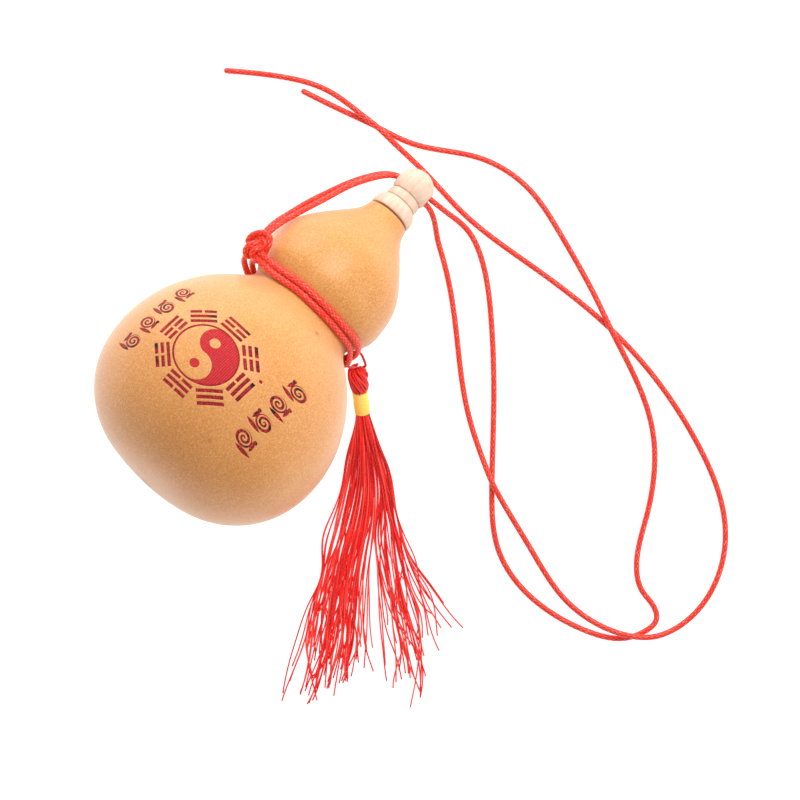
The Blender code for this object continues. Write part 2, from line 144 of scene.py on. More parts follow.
class Finish:
    """A material that is being made."""

    def __init__(self, name, **fixed):
        self.material = bpy.data.materials.new(name)
        self.material.use_nodes = True
        self.tree = self.material.node_tree
        self.shader = self.tree.nodes["Principled BSDF"]
        for socket, value in fixed.items():
            self.shader.inputs[socket.replace("_", " ")].default_value = value

    def node(self, kind, settings=None, sockets=None, output=0):
        made = self.tree.nodes.new(kind)
        for name, value in (settings or {}).items():
            setattr(made, name, value)
        for name, value in (sockets or {}).items():
            if isinstance(value, Signal):
                self.tree.links.new(value.socket, made.inputs[name])
            else:
                made.inputs[name].default_value = value
        return Signal(self, made.outputs[output])

    def feed(self, socket, value):
        self.tree.links.new(value.socket, self.shader.inputs[socket])

    def place(self):
        """Where the surface point is in the object, in metres."""
        return self.node("ShaderNodeTexCoord", output="Object")

    def along(self, direction):
        """The place measured along a direction, in millimetres."""
        sockets = {0: self.place(), 1: tuple(direction)}
        return 1 / MM * self.node("ShaderNodeVectorMath", {"operation": "DOT_PRODUCT"}, sockets, 1)

    def strand_map(self, name):
        """The UV map's two coordinates: the strand's number and turn share, and the length."""
        both = self.node("ShaderNodeUVMap", {"uv_map": name})
        return tuple(self.node("ShaderNodeSeparateXYZ", {}, {0: both}, axis) for axis in (0, 1))

    def noise(self, size, detail=2.0, place=None):
        """Soft cloudy noise from 0 to 1 with features of a size in millimetres."""
        place = self.place() if place is None else place
        sockets = {"Vector": place, "Scale": 1 / (size * MM), "Detail": detail}
        return self.node("ShaderNodeTexNoise", {}, sockets)

    def mixed(self, share, first, second):
        """The first colour where share is 0 and the second where it is 1."""
        sockets = {0: share, 6: first, 7: second}
        return self.node("ShaderNodeMix", {"data_type": "RGBA"}, sockets, 2)

    def bump(self, height, distance):
        """Feeds the shader's normal with a height from 0 to 1 that stands for a real one in mm."""
        sockets = {"Height": height, "Distance": distance * MM, "Strength": 1.0}
        self.feed("Normal", self.node("ShaderNodeBump", {}, sockets))


def tone(red, green, blue):
    """A colour as painters mix it, 0 to 255 in sRGB, turned into the linear numbers of a socket."""
    share = np.array([red, green, blue]) / 255
    linear = np.where(share <= 0.04045, share / 12.92, ((share + 0.055) / 1.055) ** 2.4)
    return (*linear.tolist(), 1.0)


# %% [markdown]
# ## Formulas for numbers and signals alike
#
# The burnt pattern further down is both pressed into the mesh and coloured in the material. It
# would be a pity to write it twice, so each function here works on numpy arrays and on signals.

# %% Formulas for numbers and signals alike


def maths_on(operation, numpy_twin, *values):
    """A Math node when a value is a signal, and the numpy function when all are numbers."""
    signals = [value for value in values if isinstance(value, Signal)]
    return signals[0].maths(operation, *values) if signals else numpy_twin(*values)


def larger(a, b):
    return maths_on("MAXIMUM", np.maximum, a, b)


def smaller(a, b):
    return maths_on("MINIMUM", np.minimum, a, b)


def size_of(a):
    return maths_on("ABSOLUTE", np.abs, a)


def root(a):
    return maths_on("SQRT", np.sqrt, a)


def wave(a):
    return maths_on("SINE", np.sin, a)


def rounded(a):
    return maths_on("ROUND", np.round, a)


def heading(y, x):
    return maths_on("ARCTAN2", np.arctan2, y, x)


def inside(edge, blur):
    """1 where the distance to an edge is negative, 0 outside, and a soft step between."""
    return smaller(larger(0.5 - edge / blur, 0.0), 1.0)


def between(value, low, high):
    """0 below low, 1 above high, and a straight ramp between."""
    return smaller(larger((value - low) / (high - low), 0.0), 1.0)


# %% [markdown]
# ## Lines and strands
#
# Cords, threads and windings are all a round section carried along a line. A curve object with a
# bevel would do that too, but its section can't swell, twist or carry a woven relief. So the line
# is a natural cubic spline through a few points, and the section is placed on it with axes that
# never spin: each station's side direction is turned by the sum of the small twists before it.

# %% Lines


def unit(vectors):
    return vectors / np.linalg.norm(vectors, axis=-1, keepdims=True)


def lengths_so_far(line):
    """How far each point of a line is from its start, measured along it."""
    return np.concatenate(([0.0], np.cumsum(np.linalg.norm(np.diff(line, axis=0), axis=1))))


def spaced(line, count):
    """Points at equal lengths along the line."""
    travelled = lengths_so_far(line)
    at = np.linspace(0.0, travelled[-1], count)
    return np.column_stack([np.interp(at, travelled, column) for column in line.T])


def smooth_line(points, count):
    """The natural cubic spline through the points, by their distances apart, evenly spaced.

    Its second derivative is zero at both ends and comes from one linear system elsewhere."""
    points = np.array(points, float)
    steps = np.linalg.norm(np.diff(points, axis=0), axis=1)
    knots = np.concatenate(([0.0], np.cumsum(steps)))
    slopes = np.diff(points, axis=0) / steps[:, None]
    system = np.diag(np.concatenate(([1.0], 2 * (steps[:-1] + steps[1:]), [1.0])))
    inner = np.arange(1, len(points) - 1)
    system[inner, inner - 1] = steps[:-1]
    system[inner, inner + 1] = steps[1:]
    turn = np.zeros_like(points)
    turn[1:-1] = 6 * np.diff(slopes, axis=0)
    bend = np.linalg.solve(system, turn)
    at = np.linspace(0.0, knots[-1], 12 * count)
    i = np.clip(np.searchsorted(knots, at, side="right") - 1, 0, len(steps) - 1)
    span = steps[i][:, None]
    a = (knots[i + 1] - at)[:, None] / span
    b = 1 - a
    fine = a * points[i] + b * points[i + 1]
    fine += ((a**3 - a) * bend[i] + (b**3 - b) * bend[i + 1]) * span**2 / 6
    return spaced(fine, count)


def line_length(line):
    return float(np.linalg.norm(np.diff(line, axis=0), axis=1).sum())


def strand_axes(lines, out=None):
    """Two directions across each line [strand, step, xyz] that don't spin round it.

    A first guess comes from the vertical; the twist that it makes from one step to the next is
    measured, summed along the strand and turned back. When an outward direction is given for
    every point, the second direction follows that instead."""
    along = unit(np.gradient(lines, axis=1))
    if out is not None:
        side = unit(np.cross(along, out))
        return side, np.cross(side, along)
    guess = np.cross(along, np.array((0.13, 0.07, 1.0)))
    side = unit(guess)
    above = np.cross(side, along)
    carried = side[:, :-1] - along[:, 1:] * (side[:, :-1] * along[:, 1:]).sum(-1, keepdims=True)
    twist = np.arctan2((carried * above[:, 1:]).sum(-1), (carried * side[:, 1:]).sum(-1))
    twist = np.concatenate([np.zeros((len(lines), 1)), np.cumsum(twist, axis=1)], axis=1)[..., None]
    turned_side = np.cos(twist) * side + np.sin(twist) * above
    return turned_side, np.cross(turned_side, along)


# %% [markdown]
# ## From grids to meshes
#
# Every surface here is a grid of points worked out as one numpy array. Two writers turn a grid
# into a mesh: one for strands, whose ends are closed by a small face, and one for skins of
# revolution, whose ends are closed by a fan to a pole. Both write a UV map from the grid's own
# two directions, so a weave or a twist can follow the surface.

# %% Writing a mesh


def finished_piece(name, points, faces, maps, finish):
    """Writes points in mm, faces and one UV pair per face corner into a smooth mesh piece."""
    data = bpy.data.meshes.new(name)
    corners = [face for group in faces for face in group.tolist()]
    data.from_pydata((points * MM).tolist(), [], corners)
    pairs = np.concatenate([pairs.reshape(-1, 2) for pairs in maps]).astype(np.float32)
    data.uv_layers.new(name="run").data.foreach_set("uv", pairs.ravel())
    data.shade_smooth()
    data.materials.append(finish.material)
    piece = bpy.data.objects.new(name, data)
    bpy.context.scene.collection.objects.link(piece)
    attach(piece, "root")
    return piece


# %% [markdown]
# ### Strands
#
# The grid of a strand has one direction along the line and one round it. All strands of a bundle
# go into the same arrays, so a hundred threads cost no more lines of code than one.

# %% Strands


def strands(name, lines, radii, sides, finish, relief=None, out=None, flat=(1.0, 1.0)):
    """Round strands in one mesh: a circle of `sides` points carried along each line.

    lines is [strand, step, xyz] and radii is [strand, step]. relief(round, along), in shares of
    the radius, swells the section; the UV map holds the strand's number plus the share of a turn,
    and the length in mm. A pressed strand has an outward direction and a flat section."""
    lines = np.asarray(lines, float)
    count, steps = lines.shape[:2]
    side, above = strand_axes(lines, out)
    side, above = flat[0] * side, flat[1] * above
    turn = 2 * np.pi * np.arange(sides) / sides
    travelled = np.linalg.norm(np.diff(lines, axis=1), axis=2).cumsum(axis=1)
    travelled = np.concatenate([np.zeros((count, 1)), travelled], axis=1)
    reach = np.broadcast_to(np.asarray(radii, float), (count, steps))[..., None]
    if relief is not None:
        reach = reach * (1 + relief(turn[None, None, :], travelled[..., None]))
    ring = reach[..., None] * (
        np.cos(turn)[:, None] * side[:, :, None, :] + np.sin(turn)[:, None] * above[:, :, None, :]
    )
    points = (lines[:, :, None, :] + ring).reshape(-1, 3)
    s, i, j = np.meshgrid(np.arange(count), np.arange(steps - 1), np.arange(sides), indexing="ij")
    k = (j + 1) % sides
    base = (s * steps + i) * sides
    quads = np.stack([base + j, base + sides + j, base + sides + k, base + k], -1).reshape(-1, 4)
    turn_share = s[..., None] + np.stack([j, j, j + 1, j + 1], -1) / sides
    length = np.stack(
        [travelled[s, i], travelled[s, i + 1], travelled[s, i + 1], travelled[s, i]], -1
    )
    quad_map = np.stack([turn_share, length], -1)
    start = np.arange(count)[:, None] * steps * sides + np.arange(sides)[None, :]
    end = start[:, ::-1] + (steps - 1) * sides
    cap_map = np.zeros((2, count, sides, 2))
    cap_map[1, ..., 1] = travelled[:, -1:]
    return finished_piece(name, points, [quads, start, end], [quad_map, cap_map], finish)


# %% [markdown]
# ### Skins of revolution
#
# A gourd and anything off a lathe are rings of points, one after another along an axis. The last
# point of a ring joins the first, and a fan of triangles closes each end.

# %% Skins of revolution


def skin_of_rings(name, rings, first_pole, last_pole, finish, stations):
    """A closed skin over rings of points [ring, point, xyz], with a fan to a pole at each end."""
    rows, around = rings.shape[:2]
    points = np.vstack([rings.reshape(-1, 3), first_pole, last_pole])
    i, j = np.meshgrid(np.arange(rows - 1), np.arange(around), indexing="ij")
    k = (j + 1) % around
    here, next_row = i * around, (i + 1) * around
    quads = np.stack([here + j, here + k, next_row + k, next_row + j], -1)
    turn_share = np.stack([j, j + 1, j + 1, j], -1) / around
    height = np.stack([stations[i], stations[i], stations[i + 1], stations[i + 1]], -1)
    j, k = np.arange(around), (np.arange(around) + 1) % around
    foot, top = rows * around, rows * around + 1
    last = (rows - 1) * around
    fans = [
        np.stack([np.full(around, foot), k, j], -1),
        np.stack([np.full(around, top), last + j, last + k], -1),
    ]
    fan_maps = [
        np.stack([np.stack([j, j, j], -1) / around, np.full((around, 3), stations[end])], -1)
        for end in (0, -1)
    ]
    quads = quads.reshape(-1, 4)
    return finished_piece(
        name, points, [quads, *fans], [np.stack([turn_share, height], -1), *fan_maps], finish
    )


# %% [markdown]
# ## The red satin cord
#
# The cord is about two millimetres thick and braided from bright satin threads: small diagonal
# stitches cross each other round it and catch the light as glints. A texture alone would look
# printed, so the stitches are two sets of crossing screw lines that swell the section a little.
# In the material the same lines paint shade into the valleys and a lighter red on the crests,
# and pale painted glints sit on the crests.

# %% The cord's braid and finish
CORD_RADIUS = 0.95
BRAID_THREADS = 6
STITCH_LENGTH = 1.9
CORD_SIDES = 20


def braid(turn, length):
    """The mean of two screw waves that climb the cord opposite ways, from 0 to 1."""
    climb = length * (2 * math.pi / STITCH_LENGTH)
    one = wave(turn * BRAID_THREADS + climb)
    other = wave(turn * BRAID_THREADS - climb)
    return 0.5 + 0.25 * (one + other)


def braid_relief(turn, length):
    return 0.07 * (braid(turn, length) - 0.5)


def make_cord_finish():
    finish = Finish(
        "red_satin_cord", Specular_IOR_Level=0.4, Sheen_Weight=0.08, Sheen_Roughness=0.4
    )
    turn_share, length = finish.strand_map("run")
    stitch = braid(turn_share * (2 * math.pi), length)
    fibre = finish.noise(0.8, 3.0)
    # Painted shade in the braid's valleys and a lighter red on its crests as painted highlight.
    colour = finish.mixed(between(stitch, 0.1, 0.8), tone(222, 26, 18), tone(254, 72, 50))
    # Painted glints: pale spots on the crests where the noise is high.
    painted_glint = between(fibre, 0.5, 0.66) * between(stitch, 0.3, 0.8)
    colour = finish.mixed(painted_glint * 0.65, colour, tone(255, 168, 146))
    finish.feed("Base Color", colour)
    finish.feed("Roughness", 0.46 - 0.14 * stitch + 0.12 * (fibre - 0.5))
    finish.bump(0.8 * stitch + 0.3 * fibre, 0.05)
    return finish


cord_finish = make_cord_finish()


def blunt_ends(line, radius):
    """The radius along a line whose cut ends are rounded over one radius."""
    travelled = lengths_so_far(line)
    from_end = np.minimum(travelled, travelled[-1] - travelled)
    closing = np.clip(from_end / radius, 0.0, 1.0)
    return radius * np.sqrt(np.clip(1 - 0.8 * (1 - closing) ** 2, 0.0, 1.0))


# %% [markdown]
# ## The two long cords
#
# From the knot both strands slope down to the stopper's ball, go through its hole and lie on the
# table in one wide loop each. They cross each other in long low humps. The route's points are the
# CAD model's own, after a short lead into the knot.

# %% The two long cords
LONG_CORDS = {
    "long_cord_a": [
        (35.0, 61.1, 37.8), (38.0, 60.9, 35.6), (44.0, 59.5, 30.0), (50.4, 57.4, 25.5),
        (56.8, 55.2, 20.8), (63.3, 53.0, 16.3), (69.0, 50.0, 13.0), (73.4, 46.9, 10.9),
        (75.9, 43.9, 10.35), (75.8, 37.0, 10.0), (75.35, 33.0, 9.15), (75.25, 29.7, 8.9),
        (74.2, 26.6, 7.2), (69.3, 20.2, 1.9), (65.5, 14.4, 1.0), (52.0, -3.0, 0.97),
        (32.2, -26.4, 0.97), (23.9, -40.6, 2.3), (20.7, -47.1, 3.2), (17.8, -54.8, 2.3),
        (12.2, -72.3, 0.97), (7.2, -93.0, 1.2), (8.2, -104.0, 2.6), (13.3, -116.6, 3.4),
        (17.0, -121.2, 3.0), (22.6, -124.9, 1.4), (31.0, -127.0, 0.97), (57.0, -118.9, 0.97),
        (75.6, -90.0, 0.97), (84.9, -46.0, 0.97), (83.4, -9.7, 0.97), (81.4, 20.0, 0.97),
        (83.2, 40.0, 1.0), (83.6, 52.5, 2.6), (83.9, 60.0, 3.35), (83.5, 67.0, 3.2),
        (83.1, 73.5, 2.0), (81.6, 82.0, 1.0), (76.5, 93.0, 0.97), (64.2, 110.8, 0.97),
    ],
    "long_cord_b": [
        (34.9, 62.2, 37.3), (38.2, 62.1, 35.4), (43.2, 61.2, 29.0), (50.3, 59.3, 23.3),
        (56.7, 57.0, 18.2), (63.2, 54.4, 13.4), (69.6, 50.9, 9.4), (74.4, 46.9, 8.0),
        (76.2, 43.8, 7.97), (77.1, 38.0, 8.2), (77.65, 33.0, 9.15), (77.65, 29.8, 9.0),
        (77.8, 26.4, 7.6), (78.0, 22.8, 4.6), (78.3, 19.0, 2.0), (78.0, 14.2, 1.0),
        (75.0, 6.5, 0.97), (62.0, -10.0, 0.97), (41.5, -29.5, 0.97), (18.5, -49.0, 0.97),
        (4.9, -64.0, 0.97), (4.4, -104.8, 0.97), (10.0, -114.4, 0.97), (16.8, -118.6, 0.97),
        (22.6, -118.9, 0.97), (25.3, -115.2, 0.97), (26.6, -109.0, 0.97), (31.2, -102.4, 0.97),
        (46.3, -93.4, 0.97), (69.1, -75.7, 0.97), (80.6, -54.2, 2.0), (84.8, -43.5, 3.2),
        (89.0, -33.6, 2.0), (97.7, -9.0, 0.97), (101.8, 8.0, 0.97), (98.5, 28.0, 0.97),
        (87.5, 47.5, 0.97), (83.9, 59.8, 0.97), (79.8, 74.0, 0.97), (76.3, 87.0, 0.97),
    ],
}
CORD_STEP = 0.33
CORD_ON_TABLE = CORD_RADIUS + 0.02


def braided_cord(node, line, **section):
    """One braided strand on a line that takes the place of a CAD node."""
    radii = blunt_ends(line, CORD_RADIUS)
    cord = strands(
        node + "_braided", line[None], radii[None], CORD_SIDES, cord_finish, braid_relief, **section
    )
    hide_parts(node)
    return cord


def lay_long_cord(node, route):
    line = smooth_line(route, round(line_length(smooth_line(route, 400)) / CORD_STEP))
    line[:, 2] = np.maximum(line[:, 2], CORD_ON_TABLE)
    cord = braided_cord(node, line)


for node, route in LONG_CORDS.items():
    lay_long_cord(node, route)

# %% [markdown]
# ## The gourd's axis and outline
#
# A gourd grows nearly round, so its skin is a surface of revolution: an outline of radius against
# distance along the axis, from the blossom end to the cut neck. The outline is mirrored at the
# pole before the spline is drawn, which makes the blossom end round instead of pointed. The axis
# slopes by nineteen degrees, because both bulbs rest on the table and the upper one is smaller.

# %% The gourd's axis and outline
TILT = math.radians(18.97)
BLOSSOM_END = np.array((-47.8, 36.9, 51.86))
AXIS = np.array((math.cos(TILT), 0.0, -math.sin(TILT)))
KNOT_SIDE = np.array((0.0, 1.0, 0.0))
TOP_SIDE = np.array((math.sin(TILT), 0.0, math.cos(TILT)))
MOUTH = 118.0
OUTLINE = [
    (0.0, 0.0), (3.0, 22.0), (10.0, 32.0), (20.0, 38.6), (31.0, 41.1), (42.0, 40.4),
    (51.5, 37.1), (60.0, 31.8), (67.5, 24.6), (74.0, 19.4), (80.0, 22.9), (87.0, 23.9),
    (95.0, 22.5), (103.0, 17.8), (110.0, 12.1), (115.0, 8.6), (MOUTH, 7.7),
]


def round_axis(station, radius, turn):
    """The point at a distance along the axis, a radius from it and a turn round it."""
    station, radius, turn = (np.asarray(x, float)[..., None] for x in (station, radius, turn))
    out = np.cos(turn) * KNOT_SIDE + np.sin(turn) * TOP_SIDE
    return BLOSSOM_END + station * AXIS + radius * out


def gourd_outline(count):
    half = np.array(OUTLINE)
    mirrored = half[:0:-1] * (1, -1)
    whole = smooth_line(np.vstack([mirrored, half]), 2 * count - 1)[count - 1 :]
    whole[0] = 0.0
    return whole


outline = gourd_outline(2000)
print("outline is", round(line_length(outline), 1), "mm from pole to mouth")

# %% [markdown]
# ## The strands round the waist
#
# The doubled cord goes once round the waist, so two strands lie side by side. Each keeps a small
# clearance from the skin, which grows near the knot and over the tassel's loop. Its route is given
# the way a maker would describe it: the angle round the gourd, the distance along it and the
# clearance. Pulled tight, the soft cord is pressed a little flat against the skin.

# %% The strands round the waist
WAIST_CORDS = {
    "waist_cord_mouth_side": [
        (37.0, 76.5, 2.3), (48.0, 76.0, 1.5), (68.0, 75.8, 1.3), (90.0, 75.75, 1.3),
        (115.0, 75.7, 1.3), (140.0, 76.2, 1.3), (160.0, 76.7, 1.55), (172.0, 76.1, 1.95),
        (184.0, 75.0, 2.3), (196.0, 74.5, 1.9), (214.0, 74.9, 1.35), (240.0, 75.5, 1.3),
        (270.0, 75.6, 1.3), (300.0, 75.6, 1.3), (325.0, 75.7, 1.4), (342.0, 76.2, 1.7),
        (356.0, 76.8, 2.0), (368.0, 76.3, 1.9), (377.0, 75.9, 2.0),
    ],
    "waist_cord_base_side": [
        (32.0, 74.5, 4.4), (38.0, 74.2, 3.0), (46.0, 73.8, 2.1), (58.0, 73.55, 1.5),
        (75.0, 73.7, 1.3), (90.0, 73.5, 1.3), (115.0, 73.45, 1.3), (140.0, 73.9, 1.3),
        (160.0, 74.4, 1.55), (172.0, 73.8, 1.95), (184.0, 72.7, 2.3), (196.0, 72.1, 1.9),
        (214.0, 72.6, 1.35), (240.0, 73.2, 1.3), (270.0, 73.3, 1.3), (300.0, 73.3, 1.3),
        (325.0, 73.4, 1.5), (341.0, 73.5, 2.1), (352.0, 73.6, 3.1), (361.0, 73.8, 4.3),
        (368.0, 74.0, 5.3),
    ],
}
PRESSED_FLAT = (1.17, 0.92)


def clear_of_skin(station, clearance):
    """How far from the axis a line runs that keeps a clearance from every point of the skin."""
    near = outline[np.abs(outline[:, 0] - station) < clearance]
    return float((near[:, 1] + np.sqrt(clearance**2 - (near[:, 0] - station) ** 2)).max())


ENDS_UNDER_KNOT = {
    "waist_cord_mouth_side": ((29.0, 61.3, 38.7), (26.8, 59.7, 36.2)),
    "waist_cord_base_side": ((26.9, 60.6, 38.0), (25.9, 62.0, 36.0)),
}


def lay_waist_cord(node, route):
    knots = [
        round_axis(station, clear_of_skin(station, clearance), math.radians(angle))
        for angle, station, clearance in route
    ]
    first, last = ENDS_UNDER_KNOT[node]
    knots = [first, *knots, last]
    line = smooth_line(knots, 480)
    foot = BLOSSOM_END + ((line - BLOSSOM_END) @ AXIS)[:, None] * AXIS
    braided_cord(node, line, out=unit(line - foot)[None], flat=PRESSED_FLAT)
    print(node, "is", round(line_length(line), 1), "mm long")


for node, route in WAIST_CORDS.items():
    lay_waist_cord(node, route)

# %% [markdown]
# ## The knot
#
# The doubled cord is wrapped once behind and once in front and drawn tight. The CAD model has the
# two wraps as one lump each. Here each wrap is two strands side by side, which is what makes a
# knot look tied. The upper lobe rises from the left, goes over the top and comes down on the
# right; the front lobe starts under it and curls round to the left and down.

# %% The knot
KNOT_STRANDS = [
    [
        (28.4, 63.8, 36.6), (29.8, 64.5, 37.2), (31.7, 64.3, 38.0), (33.5, 63.2, 38.8),
        (34.8, 61.5, 39.4), (34.6, 59.8, 39.9), (33.5, 58.8, 40.0), (31.6, 58.2, 39.4),
        (29.7, 57.8, 38.0),
    ],
    [
        (29.5, 62.8, 36.9), (31.2, 62.9, 37.6), (32.5, 61.8, 38.4), (32.8, 60.5, 39.2),
        (32.1, 59.5, 39.6), (30.7, 58.9, 39.2), (29.4, 58.9, 38.2),
    ],
    [
        (31.6, 60.9, 38.2), (30.4, 61.8, 40.1), (28.6, 62.8, 40.2), (26.6, 62.8, 39.2),
        (25.6, 61.8, 37.6), (25.9, 60.4, 36.2),
    ],
    [
        (30.6, 59.6, 38.6), (29.4, 60.4, 40.5), (27.8, 60.8, 40.5), (26.9, 60.2, 39.2),
        (26.9, 59.2, 37.4),
    ],
    [(27.6, 63.6, 36.4), (29.6, 62.0, 37.4), (31.4, 60.6, 37.6), (32.0, 59.6, 37.4)],
]
KNOT_STRAND_RADIUS = 1.1


def make_knot():
    lines = np.stack([smooth_line(strand, 80) for strand in KNOT_STRANDS])
    radii = np.stack([blunt_ends(line, KNOT_STRAND_RADIUS) for line in lines])
    knot = strands("knot_strands", lines, radii, CORD_SIDES, cord_finish, braid_relief)
    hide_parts("knot")
    print("the knot has", len(lines), "strands")


make_knot()

# %% [markdown]
# ## The burnt pattern as formulas
#
# The skin carries a traditional pattern: the two halves of a circle with their dots, a ring round
# them, and eight groups of three bars, with small cloud scrolls on either side. It is burnt in
# by a laser, so it has sharp edges, a crimson floor and black char where the beam lingered.
#
# It could be a painted texture, but formulas stay sharp at any size. Each shape is a distance:
# negative inside, positive outside. The smaller of two distances joins two shapes and the larger
# keeps only what they share. The functions work on numpy arrays and on shader signals alike.

# %% The circle, its halves and the eight groups of bars
RING_OUTER = 9.6
RING_WIDTH = 0.6
BAR_FIRST = 10.8
BAR_SPACING = 1.725
BAR_THICKNESS = 1.0
BAR_LENGTH = 7.65
BAR_GAP = 0.75
SOLID_BARS = {
    0: (1, 2), 2: (0, 2), 3: (0, 1), 4: (2,), -4: (2,), -3: (0,), -2: (1,), -1: (0, 1, 2),
}


def reach(x, y, centre=(0.0, 0.0)):
    """How far a place is from a centre."""
    across, up = x - centre[0], y - centre[1]
    return root(across * across + up * up)


def two_halves(x, y):
    """The distance to the red half of the circle, with its dots."""
    upper = reach(x, y, (0.0, 4.6)) - 4.8
    lower = reach(x, y, (0.0, -4.6)) - 4.6
    red = larger(smaller(-x, upper), -lower)
    red = larger(red, reach(x, y, (-0.1, -0.1)) - RING_OUTER)
    red = larger(red, 1.56 - reach(x, y, (-0.34, 4.27)))
    return smaller(red, reach(x, y, (-0.4, -4.56)) - 1.42)


def ring_line(x, y):
    middle = RING_OUTER - RING_WIDTH / 2
    return size_of(reach(x, y, (-0.1, -0.1)) - middle) - RING_WIDTH / 2


def eight_groups(x, y):
    """The distance to the nearest bar.

    The plane is folded into eight equal wedges, and the bars of a wedge into one bar, so a single
    bar is measured; a table of the solid ones says where the gap is left out."""
    far, facing = reach(x, y), heading(y, x)
    wedge = rounded(facing / (math.pi / 4))
    turn = facing - wedge * (math.pi / 4)
    out, across = far * wave(turn + math.pi / 2), far * wave(turn)
    number = smaller(larger(rounded((out - BAR_FIRST) / BAR_SPACING), 0.0), 2.0)
    bar = size_of(out - BAR_FIRST - number * BAR_SPACING) - BAR_THICKNESS / 2
    bar = larger(bar, size_of(across) - BAR_LENGTH / 2)
    code = wedge * 3 + number
    solid = 0.0
    for which, bars in SOLID_BARS.items():
        for place in bars:
            solid = solid + inside(size_of(code - (3 * which + place)) - 0.5, 0.1)
    gap = BAR_GAP / 2 - size_of(across) - 10 * solid
    return larger(bar, gap)


# %% [markdown]
# ## Cloud scrolls
#
# Four small ornaments stand on each side of the circle. Each is the same cloud scroll: a spiral
# line that thins towards its middle, a leaf under it and a small drop. Folding the plane again
# makes eight out of one, and every second one is mirrored so that the row looks drawn by hand.

# %% Cloud scrolls
SCROLL_COLUMN = 20.85
SCROLL_MIDDLE = 1.05
SCROLL_SPACING = 7.5
SCROLL_FOOT = -11.4


def cloud_scroll(x, y):
    """The distance to one scroll: a spiral, two leaves and a drop."""
    far, facing = reach(x, y, (-0.5, 0.7)), heading(y - 0.7, x + 0.5)
    arm = far / 1.15 - facing / (2 * math.pi)
    line = size_of(arm - rounded(arm)) * 1.15 - (0.2 + 0.11 * far)
    spiral = larger(line, far - 2.3)
    leaf = larger(reach(x, y, (0.6, 1.9)) - 4.6, reach(x, y, (1.5, -6.6)) - 5.15)
    small_leaf = larger(reach(x, y, (4.9, 1.2)) - 3.3, reach(x, y, (-0.6, 0.6)) - 3.25)
    drop = reach(x, y, (2.2, 2.3)) - 0.55
    return smaller(smaller(spiral, leaf), smaller(small_leaf, drop))


def scroll_columns(x, y):
    right = inside(-x, 0.1)
    across = size_of(x - SCROLL_MIDDLE) - SCROLL_COLUMN
    up = y - SCROLL_FOOT - 1.2 * right
    row = smaller(larger(rounded(up / SCROLL_SPACING), 0.0), 3.0)
    up = up - row * SCROLL_SPACING
    odd = size_of(row - 2 * rounded(row / 2))
    mirrored = 1 - 2 * odd
    scroll = cloud_scroll(across * mirrored, up)
    return larger(scroll, size_of(across) - 4.0)


# %% [markdown]
# ## The gourd's skin
#
# The mesh is the outline turned round the axis, with its rows and columns crowded where the
# pattern is, so that the burnt shapes are real grooves a tenth of a millimetre deep. A dried
# gourd is never perfectly round: two slow waves move the skin in and out by a few tenths of a
# millimetre where nothing touches it.

# %% The pattern's place on the skin
PATTERN_CENTRE = np.array((-3.097, 47.554, 78.576))
PATTERN_OUT = np.array((0.3202, 0.2585, 0.9114))
PATTERN_RIGHT = np.array((0.0018, -0.8227, 0.2327))
PATTERN_UP = np.array((0.9546, -0.0717, -0.3151))
PATTERN_SHIFT = (0.429, -0.364)
PATTERN_DEPTH = 25.0
BURN_DEPTH = 0.12


def pattern_place(measured):
    """Pattern right, pattern up and height over the skin's middle, from a way to measure along
    a direction."""
    return [
        measured(direction) - float(direction @ PATTERN_CENTRE) + shift
        for direction, shift in zip((PATTERN_RIGHT, PATTERN_UP, PATTERN_OUT), (*PATTERN_SHIFT, 0.0))
    ]


def burnt(x, y, height, blur):
    """1 in every burnt shape and 0 elsewhere, only on the pattern's side of the gourd."""
    shapes = smaller(smaller(two_halves(x, y), ring_line(x, y)), eight_groups(x, y))
    shapes = smaller(shapes, smaller(scroll_columns(x, y), reach(x, y, (14.92, 5.87)) - 0.5))
    return inside(shapes, blur) * inside(-PATTERN_DEPTH - height, 1.0)


# %% The gourd's mesh
SOCKET_RADIUS = 5.6
SOCKET_FLOOR = 105.4
PATTERN_STATION = 33.6
PATTERN_TURN = math.radians(75.0)
SKIN_ROWS = 262
SKIN_COLUMNS = 331
WAIST_STATION = 75.0
LIP = [
    (MOUTH + 0.02, 7.45), (MOUTH, 7.0), (MOUTH, SOCKET_RADIUS + 0.2),
    (MOUTH - 0.2, SOCKET_RADIUS), (112.0, SOCKET_RADIUS), (SOCKET_FLOOR, SOCKET_RADIUS),
    (SOCKET_FLOOR, 2.0),
]


def crowded(low, high, count, middle, half_width, extra, blend):
    """Positions from low to high, `extra` times closer within half_width of the middle."""
    at = np.linspace(low, high, 20000)
    near = np.clip((half_width + blend - np.abs(at - middle)) / blend, 0.0, 1.0)
    weight = 1 + (extra - 1) * near * near * (3 - 2 * near)
    total = np.concatenate(([0.0], np.cumsum((weight[1:] + weight[:-1]) / 2)))
    return np.interp(np.linspace(0.0, total[-1], count), total, at)


